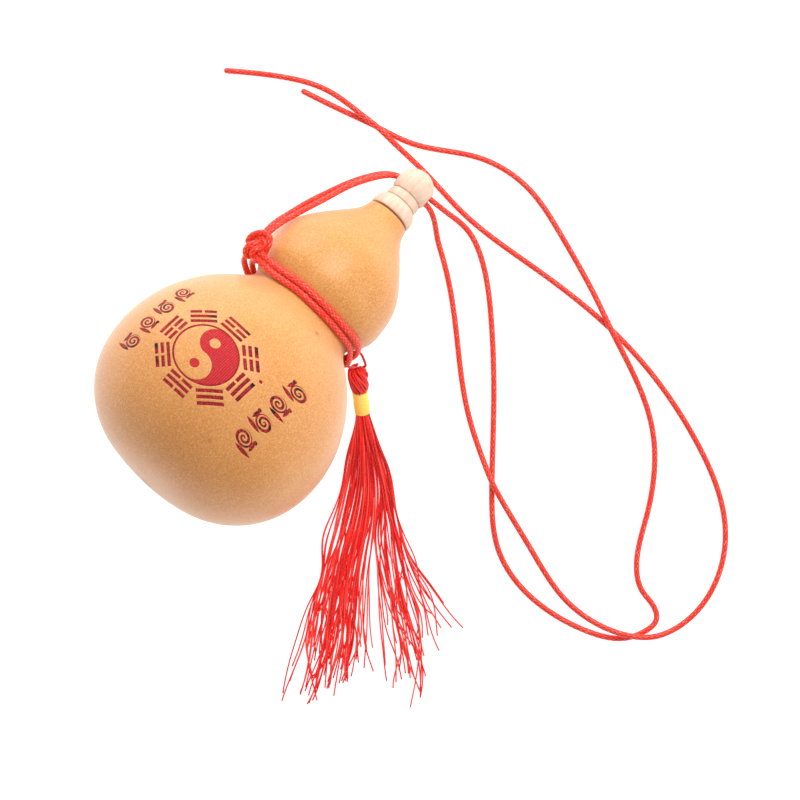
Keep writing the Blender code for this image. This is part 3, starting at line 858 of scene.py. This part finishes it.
def gourd_rings():
    """Rings of skin points from the blossom end over the lip into the socket, and their stations.

    Each point is pushed along the outline's normal by the slow waves and by the burnt depth."""
    travelled = lengths_so_far(outline)
    middle = float(np.interp(PATTERN_STATION, outline[:, 0], travelled))
    at = crowded(1.0, travelled[-1], SKIN_ROWS, middle, half_width=15.5, extra=5.5, blend=6.0)
    station = np.interp(at, travelled, outline[:, 0])
    radius = np.interp(at, travelled, outline[:, 1])
    turn = crowded(
        PATTERN_TURN - math.pi, PATTERN_TURN + math.pi, SKIN_COLUMNS, PATTERN_TURN,
        half_width=math.radians(34.0), extra=7.0, blend=math.radians(8.0),
    )[:-1]
    slope = np.gradient(outline, travelled, axis=0)
    station_slope = np.interp(at, travelled, slope[:, 0])[:, None]
    radius_slope = np.interp(at, travelled, slope[:, 1])[:, None]
    station, radius, turn = np.broadcast_arrays(station[:, None], radius[:, None], turn[None, :])
    free = between(np.abs(station - WAIST_STATION), 6.0, 20.0)
    free = free * between(MOUTH - station, 2.0, 20.0)
    swell = 0.22 * np.sin(2 * turn + 0.09 * station + 0.6)
    swell = swell + 0.14 * np.sin(3 * turn - 0.05 * station)
    place = round_axis(station, radius, turn)
    burn = burnt(*pattern_place(lambda direction: place @ direction), blur=0.3)
    move = free * swell * between(radius, 0.0, 20.0) - BURN_DEPTH * burn
    rings = round_axis(station - move * radius_slope, radius + move * station_slope, turn)
    print("burnt points:", int((burn > 0.5).sum()), "of", burn.size)
    lip = np.array(LIP)
    lip_rings = round_axis(lip[:, :1], lip[:, 1:], turn[:1])
    rings = np.concatenate([rings, lip_rings])
    rings[..., 2] = np.maximum(rings[..., 2], 0.0)
    return rings, np.concatenate([station[:, 0], lip[:, 0]])


# %% [markdown]
# ## The skin's finish
#
# A dried and polished gourd is honey tan, with soft mottling, tiny pores and a few brown specks,
# and it shines gently. The colour is mixed from three scales of noise and darkened towards the
# blossom end with painted shade. The burnt floor is crimson with fine dark lines where the beam
# went back and forth, and black char at a few ends.

# %% The skin's finish
CHARRED = [
    (-6.5, 11.2, 1.7), (-9.3, -10.9, 1.3), (-12.4, -7.8, 1.3), (8.0, 12.2, 1.4), (12.2, 8.0, 1.2),
    (3.3, 11.0, 1.3), (3.3, 14.2, 1.2), (14.2, 3.4, 1.1), (14.2, -3.4, 1.1),
]
SPECKS = [
    ((22.8, 27.6, 53.3), 0.9, 0.6), ((10.6, 10.9, 58.6), 1.1, 0.16),
    ((-22.1, 29.5, 80.3), 0.6, 0.5),
]
SCAR_STATION = 0.4
SCAR_RADIUS = 8.8
SCAR_SIZE = 2.1


def reach_from(finish, centre):
    """How far the surface is from a place on the skin, in mm."""
    sockets = {0: finish.place(), 1: tuple(c * MM for c in centre)}
    return finish.node("ShaderNodeVectorMath", {"operation": "DISTANCE"}, sockets, 1) / MM


def make_skin_finish():
    finish = Finish(
        "dried_gourd_skin", Specular_IOR_Level=0.45, Coat_Roughness=0.42, Sheen_Weight=0.4,
        Sheen_Roughness=0.4, Sheen_Tint=(1.0, 0.9, 0.84, 1.0),
    )
    x, y, height = pattern_place(finish.along)
    burn = burnt(x, y, height, 0.12)
    broad, patches, pores = finish.noise(30.0, 1.0), finish.noise(4.0, 4.0), finish.noise(0.5, 4.0)
    colour = finish.mixed(between(broad, 0.3, 0.7), tone(224, 150, 72), tone(236, 168, 96))
    # Painted shade: the colour darkens towards the blossom end.
    painted_blossom_shade = between(reach_from(finish, BLOSSOM_END), 80.0, 30.0)
    colour = finish.mixed(painted_blossom_shade * 0.4, colour, tone(204, 118, 48))
    colour = finish.mixed(between(patches, 0.5, 0.78) * 0.28, colour, tone(208, 134, 64))
    colour = finish.mixed(between(pores, 0.5, 0.68) * 0.52, colour, tone(196, 122, 54))
    colour = finish.mixed(between(pores, 0.5, 0.32) * 0.42, colour, tone(250, 200, 132))
    for centre, size, strength in SPECKS:
        mark = inside(reach_from(finish, centre) - size, 1.2)
        colour = finish.mixed(mark * strength, colour, tone(140, 84, 44))
    grain = finish.noise(1.6, 3.0)
    from_scar = reach_from(finish, round_axis(SCAR_STATION, SCAR_RADIUS, -math.pi / 2))
    from_scar = from_scar + 1.6 * (grain - 0.5) + 1.2 * (pores - 0.5)
    colour = finish.mixed(inside(from_scar - SCAR_SIZE, 1.2) * 0.8, colour, tone(142, 90, 48))
    scar_middle = inside(from_scar - 0.5 * SCAR_SIZE, 0.8)
    colour = finish.mixed(scar_middle * 0.7, colour, tone(196, 148, 98))
    colour = finish.mixed(inside(from_scar - 0.3, 0.4), colour, tone(74, 44, 24))
    hatch = 0.5 + 0.5 * wave((x + 0.5 * (grain - 0.5)) * (2 * math.pi / 0.6))
    red = finish.mixed(hatch * between(pores, 0.25, 0.6), tone(216, 44, 52), tone(128, 6, 18))
    red = finish.mixed(between(pores, 0.5, 0.66) * 0.4, red, tone(232, 92, 84))
    outer = between(reach(x, y), 8.8, 9.2)
    red = finish.mixed(outer * between(pores, 0.66, 0.4) * 0.9, red, tone(118, 4, 18))
    char = 0.0
    for across, up, size in CHARRED:
        char = char + inside(reach(x, y, (across, up)) - size, 1.4)
    char = smaller(char, 1.0) * between(grain, 0.3, 0.55)
    columns = between(size_of(x - SCROLL_MIDDLE), 16.5, 17.0) * between(grain, 0.52, 0.6)
    char = larger(char, columns)
    rim = burn * (1 - burnt(x, y, height, 0.55))
    red = finish.mixed(rim * 0.55, red, tone(90, 4, 14))
    red = finish.mixed(char, red, tone(34, 8, 12))
    colour = finish.mixed(burn, colour, red)
    finish.feed("Base Color", colour)
    finish.feed("Roughness", 0.44 + 0.12 * (patches - 0.5) + 0.5 * burn)
    finish.feed("Coat Weight", 0.3 - 0.3 * burn)
    relief = 0.25 * pores + 0.3 * patches + burn * (-1.4 + 0.5 * hatch + 0.5 * grain)
    finish.bump(relief, 0.05)
    return finish


rings, stations = gourd_rings()
gourd = skin_of_rings(
    "gourd_skin", rings, round_axis(0.0, 0.0, 0.0), round_axis(SOCKET_FLOOR, 0.0, 0.0),
    make_skin_finish(), stations,
)
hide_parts("gourd")
print("gourd faces:", len(gourd.data.polygons))

# %% [markdown]
# ## The stopper
#
# The stopper is turned from one piece of pale beech: a peg in the neck, a collar, a small ring
# and a ball with a hole across it for the cord. A lathe only makes shapes of revolution, so the
# same ring writer serves, and a Boolean with a plain drill bores the hole.

# %% The stopper
PEG_FOOT = 106.5
PEG_RADIUS = 5.3
COLLAR_FOOT = MOUTH + 0.75
BALL_CENTRE = 131.4
BALL_RADIUS = 6.75
BALL_START = 127.8
HOLE_RADIUS = 2.4
GROOVE_SHADE = {COLLAR_FOOT - 0.2: 0.7, COLLAR_FOOT + 5.5: 0.35, BALL_START - 0.2: 0.25}
TURNED_PROFILE = [
    (PEG_FOOT + 0.4, 4.8), (PEG_FOOT + 1.0, PEG_RADIUS), (COLLAR_FOOT, PEG_RADIUS),
    (COLLAR_FOOT, 7.1), (COLLAR_FOOT + 0.12, 7.38), (COLLAR_FOOT + 0.45, 7.6),
    (COLLAR_FOOT + 1.4, 7.7),
    (COLLAR_FOOT + 2.8, 7.45), (COLLAR_FOOT + 4.2, 6.8), (COLLAR_FOOT + 5.2, 6.0),
    (COLLAR_FOOT + 5.4, 5.5), (COLLAR_FOOT + 5.55, 5.46), (COLLAR_FOOT + 5.75, 5.78),
    (COLLAR_FOOT + 6.7, 5.9), (COLLAR_FOOT + 7.9, 5.8), (COLLAR_FOOT + 8.6, 5.45),
    (BALL_START - 0.3, 5.25), (BALL_START - 0.1, 5.3),
]


def stopper_profile():
    """The stopper's radius against its station, from the peg's foot to the top of the ball."""
    start = math.asin((BALL_START - BALL_CENTRE) / BALL_RADIUS)
    turn = np.linspace(start, math.pi / 2 - 0.06, 46)
    ball = np.column_stack([BALL_CENTRE + BALL_RADIUS * np.sin(turn), BALL_RADIUS * np.cos(turn)])
    body = np.vstack([TURNED_PROFILE, ball[:1]])
    travelled = lengths_so_far(body)
    at = np.union1d(np.linspace(0.0, travelled[-1], 110), travelled)
    body = np.column_stack([np.interp(at, travelled, column) for column in body.T])
    return np.vstack([body, ball[1:]])


def make_wood_finish():
    """Pale beech: long streaks of grain along the axis and short dark flecks, and painted shade in
    the grooves.
    """
    finish = Finish("turned_pale_beech", Specular_IOR_Level=0.4)
    squeezed = {
        "X": finish.along(AXIS) * 0.08 * MM,
        "Y": finish.along(KNOT_SIDE) * MM,
        "Z": finish.along(TOP_SIDE) * MM,
    }
    drawn_out = finish.node("ShaderNodeCombineXYZ", {}, squeezed)
    streaks, flecks = finish.noise(1.1, 4.0, drawn_out), finish.noise(0.35, 2.0, drawn_out)
    cloud = finish.noise(6.0, 2.0)
    colour = finish.mixed(between(streaks, 0.35, 0.7), tone(243, 213, 190), tone(231, 195, 168))
    colour = finish.mixed(between(flecks, 0.6, 0.74) * 0.4, colour, tone(216, 170, 138))
    colour = finish.mixed(between(cloud, 0.45, 0.75) * 0.25, colour, tone(249, 226, 208))
    station = finish.along(AXIS) - float(BLOSSOM_END @ AXIS)
    # Painted shade: a brown line darkens each groove, as strongly as its number says.
    for groove, depth in GROOVE_SHADE.items():
        shade = inside(size_of(station - groove) - 0.12, 0.5)
        colour = finish.mixed(shade * depth, colour, tone(134, 84, 54))
    finish.feed("Base Color", colour)
    finish.feed("Roughness", 0.5 + 0.14 * streaks)
    finish.bump(0.6 * streaks + 0.5 * flecks, 0.05)
    return finish


def bored(piece, drill):
    """Takes the drill out of the piece with a Boolean, whose result becomes the piece's mesh."""
    cut = piece.modifiers.new("cord_hole", "BOOLEAN")
    cut.object = drill
    cut.solver = "EXACT"
    graph = bpy.context.evaluated_depsgraph_get()
    result = bpy.data.meshes.new_from_object(piece.evaluated_get(graph))
    piece.modifiers.remove(cut)
    piece.data = result
    result.set_sharp_from_angle(angle=math.radians(38))
    bpy.data.objects.remove(drill)


def make_stopper():
    profile = stopper_profile()
    turn = np.linspace(0.0, 2 * math.pi, 97)[:-1]
    rings = round_axis(profile[:, :1], profile[:, 1:], turn[None, :])
    wood = make_wood_finish()
    top = round_axis(BALL_CENTRE + BALL_RADIUS, 0.0, 0.0)
    stopper = skin_of_rings(
        "turned_stopper", rings, round_axis(PEG_FOOT, 0.0, 0.0), top, wood, profile[:, 0]
    )
    middle = round_axis(BALL_CENTRE, 0.0, 0.0)
    across = np.linspace(-1.5, 1.5, 5)[:, None] * BALL_RADIUS
    drill_line = middle + across * KNOT_SIDE
    drill = strands("drill", drill_line[None], np.full((1, 5), HOLE_RADIUS), 48, wood)
    bored(stopper, drill)
    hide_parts("stopper")
    print("stopper faces:", len(stopper.data.polygons))


make_stopper()

# %% [markdown]
# ## The tassel's silk
#
# The tassel is a bundle of fine red silk threads folded over a thin loop, bound with yellow silk
# and cut at the other end. Silk is bright red with a soft shine along each thread, and the crests
# of its twist get a lighter colour where a fine noise is high, a painted highlight. The strands'
# own UV map gives the direction of the twist, and the strand's number in it gives each thread a
# tone of its own, so that neighbours can be told apart. The dark tone thins out towards the
# thread ends as painted light. Thin silk lets light through; a faint glow in the thread's own
# colour is painted light that stands for it.

# %% The tassel's silk


def make_silk_finish(name, dark, middle, light, painted_glow):
    # The emission glow is painted light that brightens the silk.
    finish = Finish(
        name, Specular_IOR_Level=0.45, Sheen_Weight=0.08, Sheen_Roughness=0.35,
        Emission_Color=middle, Emission_Strength=painted_glow,
    )
    turn_share, length = finish.strand_map("run")
    ply = 0.5 + 0.5 * wave(turn_share * (4 * math.pi) + length * 5.0)
    number = rounded(turn_share - 0.5)
    own = finish.node("ShaderNodeCombineXYZ", {}, {"X": number * 1.37, "Y": length * 0.02})
    own = finish.node("ShaderNodeTexNoise", {}, {"Vector": own, "Scale": 1.0, "Detail": 1.0})
    fine = finish.noise(0.5, 2.0)
    # The dark tone thins out from 25 to 60 mm along a thread: painted light on the spread ends.
    depth = (1 - between(own, 0.36, 0.54)) * (1 - 0.55 * between(length, 25.0, 60.0))
    colour = finish.mixed(depth, middle, dark)
    colour = finish.mixed(between(own, 0.52, 0.66) * 0.6, colour, light)
    # Painted highlight: a lighter colour on the crests of the ply.
    colour = finish.mixed(between(fine, 0.5, 0.7) * 0.6 * ply, colour, light)
    finish.feed("Base Color", colour)
    finish.feed("Roughness", 0.42 + 0.14 * (1 - ply))
    finish.bump(0.6 * ply + 0.4 * fine, 0.03)
    return finish


# The last number is the faint glow, painted light.
red_silk = make_silk_finish(
    "red_silk_thread", tone(168, 0, 2), tone(255, 24, 20), tone(255, 112, 98), 0.06
)
yellow_silk = make_silk_finish(
    "yellow_silk_thread", tone(255, 194, 52), tone(255, 242, 128), tone(255, 255, 220), 0.08
)

# %% [markdown]
# ## Loop, head and binding
#
# The loop is a thin red cord under both waist strands. The head is what the folded threads make
# above the binding: a blunt bundle of twisted ridges. It is built from single strands that turn
# a little round the middle line as they go down, over a dark core of painted shade that closes
# the gaps. The binding is one thread wound round and round, so its skin is a tube with a
# screw-shaped ripple.

# %% Loop, head and binding
LOOP_RADIUS = 0.42
TASSEL_LOOP = [
    (20.2, 12.1, 20.2), (19.8, 12.6, 22.4), (19.5, 13.3, 24.6), (19.3, 14.4, 26.1),
    (19.6, 15.7, 26.6), (20.9, 16.5, 26.2), (22.7, 16.3, 25.4), (24.5, 15.2, 24.9),
    (25.1, 13.6, 24.4), (24.4, 11.8, 23.6), (23.6, 10.4, 22.6), (22.8, 9.8, 21.4),
    (22.3, 10.2, 20.3),
]
HEAD_TOP = np.array((20.35, 11.45, 19.0))
HEAD_MIDDLE = np.array((17.5, 8.5, 16.6))
NECK = np.array((15.0, 5.85, 13.8))
BINDING_END = np.array((10.0, 0.65, 10.0))
HEAD_RADIUS = 3.5
BINDING_RADIUS = 2.6
tassel_way = unit(BINDING_END - NECK)


def make_loop():
    line = smooth_line(TASSEL_LOOP, 160)
    loop = strands("tassel_loop_cord", line[None], np.full((1, 160), LOOP_RADIUS), 10, red_silk)
    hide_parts("tassel_loop")


HEAD_RIDGES = 20
HEAD_STEPS = 40
HEAD_TWIST = 1.8
RIDGE_RADIUS = 0.4
SWELL_PLACES = (0.0, 0.05, 0.13, 0.3, 0.5, 0.7, 0.85, 1.0)
SWELL_SHARES = (0.52, 0.86, 0.98, 1.0, 0.98, 0.9, 0.76, 0.62)


def make_head():
    """Ridges that climb round the middle line at the head's radius, over a slimmer dark core of
    painted shade.
    """
    middle = smooth_line([HEAD_TOP, HEAD_MIDDLE, NECK, NECK + 1.5 * tassel_way], HEAD_STEPS)
    side, above = (axes[0] for axes in strand_axes(middle[None]))
    down = np.linspace(0.0, 1.0, HEAD_STEPS)
    swell = np.interp(down, SWELL_PLACES, SWELL_SHARES)
    draw = np.random.default_rng(3)
    ridge = np.arange(HEAD_RIDGES)[:, None]
    turn = 2 * math.pi * (ridge + draw.uniform(-0.22, 0.22, (HEAD_RIDGES, 1))) / HEAD_RIDGES
    waver = 0.1 * np.sin(4 * down + draw.uniform(0, 6, (HEAD_RIDGES, 1)))
    turn = turn + HEAD_TWIST * down**0.8 + waver
    thick = RIDGE_RADIUS * (1 - 0.3 * down) * np.ones((HEAD_RIDGES, 1))
    far = HEAD_RADIUS * swell - thick + draw.uniform(-0.45, 0.12, (HEAD_RIDGES, 1))
    spread = np.cos(turn)[..., None] * side + np.sin(turn)[..., None] * above
    lines = middle + far[..., None] * spread
    lines += draw.uniform(-0.8, 0.5, (HEAD_RIDGES, 1, 1)) * (1 - down)[:, None] ** 3 * tassel_way
    head = strands("tassel_head", lines, thick, 8, red_silk)
    core_radius = HEAD_RADIUS * swell - 0.85
    # The dark core is painted shade in the gaps between the ridges.
    core = strands("tassel_head_shade_core", middle[None, 3:], core_radius[None, 3:], 40, painted_shade_silk)
    print("the head has", HEAD_RIDGES, "ridges")
    return head


BINDING_TURNS = 27


def make_binding():
    """A tube whose radius ripples once for every turn of the thread that is wound round it."""
    length = float(np.linalg.norm(BINDING_END - NECK))
    steps, around = 10 * BINDING_TURNS, 56
    height = np.linspace(0.0, length, steps)[:, None]
    turn = np.linspace(0.0, 2 * math.pi, around + 1)[None, :-1]
    thread = length / BINDING_TURNS
    ripple = np.abs(np.sin((height / thread * 2 * math.pi - turn) / 2))
    radius = BINDING_RADIUS - 0.16 + 0.15 * ripple
    radius = radius * (1 + 0.02 * np.sin(height * 1.3 + 1.0))
    side, above = (axes[0, 0] for axes in strand_axes(np.linspace(NECK, BINDING_END, 4)[None]))
    rings = NECK + height[..., None] * tassel_way + radius[..., None] * (
        np.cos(turn)[..., None] * side - np.sin(turn)[..., None] * above
    )
    binding = skin_of_rings("yellow_binding", rings, NECK, BINDING_END, yellow_silk, height[:, 0])
    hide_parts("tassel_binding")


# Near-black silk for the head's core: painted shade.
painted_shade_silk = make_silk_finish("shaded_silk", tone(50, 2, 4), tone(80, 4, 8), tone(120, 10, 14), 0.0)
make_loop()
tassel_head = make_head()
make_binding()

# %% [markdown]
# ## The tassel's threads
#
# Below the binding more than a hundred threads fan out and come to rest on the table. Modelling
# each by hand would be hopeless, and hair particles don't survive the export. So a few guide
# threads are laid the way the photograph shows the tassel, and each real thread is a mix of two
# neighbouring guides. The mix changes on the way down, so that threads cross, and each has its
# own length, its own height in the pile and a slow wobble.

# %% The tassel's threads
GUIDE_THREADS = [
    [
        (-1, -3), (-7.5, -6.5), (-15, -11), (-23.5, -14), (-32, -17),
        (-40, -24), (-50.5, -26.5), (-60.5, -31), (-74.5, -37.5), (-79.5, -40),
    ],
    [(-1, -4), (-22.5, -16), (-43.5, -27.5), (-63, -39), (-82.8, -46.5)],
    [(-0.5, -5), (-20, -16), (-41.5, -27.5), (-59, -38), (-75.5, -48.5)],
    [(0.5, -6), (-17.5, -18.5), (-38, -28.5), (-57, -40), (-77.5, -51.5)],
    [(1.5, -7), (-16, -20.5), (-36, -31), (-53.5, -41.5), (-69, -50.5)],
    [(2, -7.5), (-14.5, -22), (-34, -33), (-50, -44.5), (-69.5, -55.5)],
    [(2.5, -8.5), (-13, -23), (-32.5, -35), (-47.5, -45), (-60, -56)],
    [(3, -9), (-12, -24), (-26.5, -33.5), (-42, -47), (-55.5, -59.5)],
    [
        (3.5, -9), (-3, -17.5), (-10, -24.5), (-18, -29.5), (-25, -38),
        (-32.5, -47.5), (-38, -55.5), (-43.5, -63), (-51, -69.5),
    ],
    [(4, -9.5), (-9, -25.5), (-22, -41), (-35, -57), (-51.5, -74.5)],
    [(4, -10), (-8, -27), (-21, -42.5), (-32.5, -58.5), (-51, -78)],
    [
        (5, -10), (0.5, -19), (-6, -26.5), (-13, -36.5), (-18.5, -45.5),
        (-22.5, -55), (-25.5, -61.5), (-27.5, -67), (-29, -71.5),
    ],
    [(6, -10), (-4, -26), (-16, -44), (-19.5, -62), (-21, -73)],
]
THREADS_OF_EACH_PAIR = (4, 6, 13, 19, 19, 13, 7, 5, 11, 11, 8, 6)
THREAD_RADIUS = 0.26
THREAD_STEPS = 46
GUIDE_STEPS = 60
RESTING_STEPS = 38
ROOT_SPREAD = 2.05


def part_way(lines, at):
    """The points of each line [thread, step, xy] at fractional steps, by straight mixing."""
    low = np.clip(at.astype(int), 0, lines.shape[1] - 2)
    part = (at - low)[..., None]
    rows = np.arange(len(lines))[:, None]
    return (1 - part) * lines[rows, low] + part * lines[rows, low + 1]


def thread_roots(draw, order):
    """Three points of each thread where it leaves the binding, spread over its round section.

    order is a thread's place from one side of the bundle to the other, from 0 to 1."""
    right = unit(np.cross((0.0, 0.0, 1.0), tassel_way))
    above = np.cross(tassel_way, right)
    sideways = 2 * order[:, None, None] - 1
    upward = np.sqrt(1 - sideways**2) * draw.uniform(-1.0, 1.0, (len(order), 1, 1))
    shift = ROOT_SPREAD * (sideways * right + upward * above)
    out = np.array((-1.2, 0.8, 3.0))[None, :, None]
    wider = np.array((1.0, 1.04, 1.22))[None, :, None]
    return BINDING_END + wider * shift + out * tassel_way


def thread_lines():
    """Threads [thread, step, xyz]: mixes of two neighbouring guides, then lifted into a pile."""
    draw = np.random.default_rng(11)
    guides = np.stack([smooth_line(guide, GUIDE_STEPS) for guide in GUIDE_THREADS])
    pair = np.repeat(np.arange(len(THREADS_OF_EACH_PAIR)), THREADS_OF_EACH_PAIR)
    count = len(pair)
    share = draw.uniform(0.0, 1.0, (count, 1, 1))
    share_at_tip = draw.uniform(-0.25, 1.25, (count, 1, 1))
    crossing = np.linspace(0.0, 1.0, GUIDE_STEPS)[None, :, None] ** 1.3
    blend = share + (share_at_tip - share) * crossing
    plan = (1 - blend) * guides[pair] + blend * guides[pair + 1]
    cut_length = 1 - 0.28 * draw.uniform(0, 1, count) ** 1.6
    down = np.linspace(0.0, 1.0, RESTING_STEPS)[None, :]
    plan = part_way(plan, down * cut_length[:, None] * (GUIDE_STEPS - 1))
    along = unit(np.gradient(plan, axis=1))
    across = np.stack([-along[..., 1], along[..., 0]], -1)
    phase = draw.uniform(0, 2 * math.pi, (count, 2, 1))
    waves = draw.uniform(0.8, 1.8, (count, 2, 1))
    wobble = np.sin(2 * math.pi * waves[:, 0] * down + phase[:, 0])
    wobble = wobble * draw.uniform(0.4, 2.6, (count, 1))
    wobble += 0.3 * np.sin(4 * math.pi * waves[:, 1] * down + phase[:, 1])
    loose = draw.uniform(0.0, 1.0, (count, 1)) < 0.16
    wobble = np.where(loose, 2.1 * wobble * down**1.1, wobble * down**1.6)
    plan = plan + wobble[..., None] * across
    pile = draw.uniform(0.0, 1.0, (count, 1))
    crowd = np.array(THREADS_OF_EACH_PAIR)[pair][:, None] / max(THREADS_OF_EACH_PAIR)
    height = 0.24 + (0.6 + 2.2 * crowd) * pile * (1 - down) ** 0.6
    height = height + 0.4 * pile * np.sin(9 * down + phase[:, 1]) ** 2
    height = height + 6.0 * np.maximum(0.0, 1 - 5 * down) ** 1.6
    resting = np.concatenate([plan, height[..., None]], axis=2)
    order = np.empty(count)
    order[np.argsort(pair + share[:, 0, 0])] = (np.arange(count) + 0.5) / count
    knots = np.concatenate([thread_roots(draw, order), resting[:, 2:]], axis=1)
    return np.stack([smooth_line(knot, THREAD_STEPS) for knot in knots])


def make_threads():
    lines = thread_lines()
    lines[..., 2] = np.maximum(lines[..., 2], THREAD_RADIUS + 0.01)
    radii = np.full(lines.shape[:2], THREAD_RADIUS)
    threads = strands("tassel_threads_fine", lines, radii, 5, red_silk)
    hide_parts("tassel_threads")
    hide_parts("tassel_threads")
    print(len(lines), "threads,", len(threads.data.polygons), "faces")


make_threads()

# %% [markdown]
# ## Floor and light
#
# The picture was taken on a lit white table with large soft lights, so the object throws no
# shadow: the floor glows a little by itself. A white world gives the even fill, one
# large softbox from the picture's upper edge gives the gradient over the bulbs, a weaker one from
# the right lifts that rim, and one low behind the gourd puts the pale gleam on its far edge.

# %% Floor and light


def make_floor():
    """A large pale sheet under the object, just bright enough to leave no shadow."""
    data = bpy.data.meshes.new("pale_floor")
    data.from_pydata([(-4, -4, 0), (4, -4, 0), (4, 4, 0), (-4, 4, 0)], [], [(0, 1, 2, 3)])
    paper = Finish(
        "lit_white_floor", Roughness=0.9, Specular_IOR_Level=0.1,
        Emission_Color=(1.0, 1.0, 1.0, 1.0), Emission_Strength=0.85,
    )
    colour = paper.mixed(paper.noise(60.0), tone(186, 186, 186), tone(196, 196, 196))
    paper.feed("Base Color", colour)
    data.materials.append(paper.material)
    floor = bpy.data.objects.new("pale_floor", data)
    bpy.context.scene.collection.objects.link(floor)


def softbox(name, way, distance, size, power):
    """A square lamp that looks at the object from a direction."""
    lamp = bpy.data.lights.new(name, "AREA")
    lamp.size = size
    lamp.energy = power
    obj = bpy.data.objects.new(name, lamp)
    target = Vector((0.0, 0.0, 0.03))
    obj.location = target + way.normalized() * distance
    obj.rotation_mode = "QUATERNION"
    obj.rotation_quaternion = way.to_track_quat("Z", "Y")
    bpy.context.scene.collection.objects.link(obj)


make_floor()
from_top = view_up * 0.75 + view_back * 1.0 + view_right * 0.4
from_right = view_right * 1.0 + view_back * 0.5 - view_up * 0.2
from_behind = view_up * 1.0 - view_right * 0.3 + view_back * 0.12
softbox("softbox_top", from_top, distance=1.4, size=0.8, power=12.0)
softbox("softbox_right", from_right, distance=1.4, size=0.7, power=3.0)
softbox("softbox_behind", from_behind, distance=1.4, size=0.9, power=10.0)
world = bpy.data.worlds.new("white_studio")
world.use_nodes = True
world.node_tree.nodes["Background"].inputs["Color"].default_value = (1.0, 1.0, 1.0, 1.0)
world.node_tree.nodes["Background"].inputs["Strength"].default_value = 0.52
bpy.context.scene.world = world
bpy.context.scene.view_settings.view_transform = "Standard"
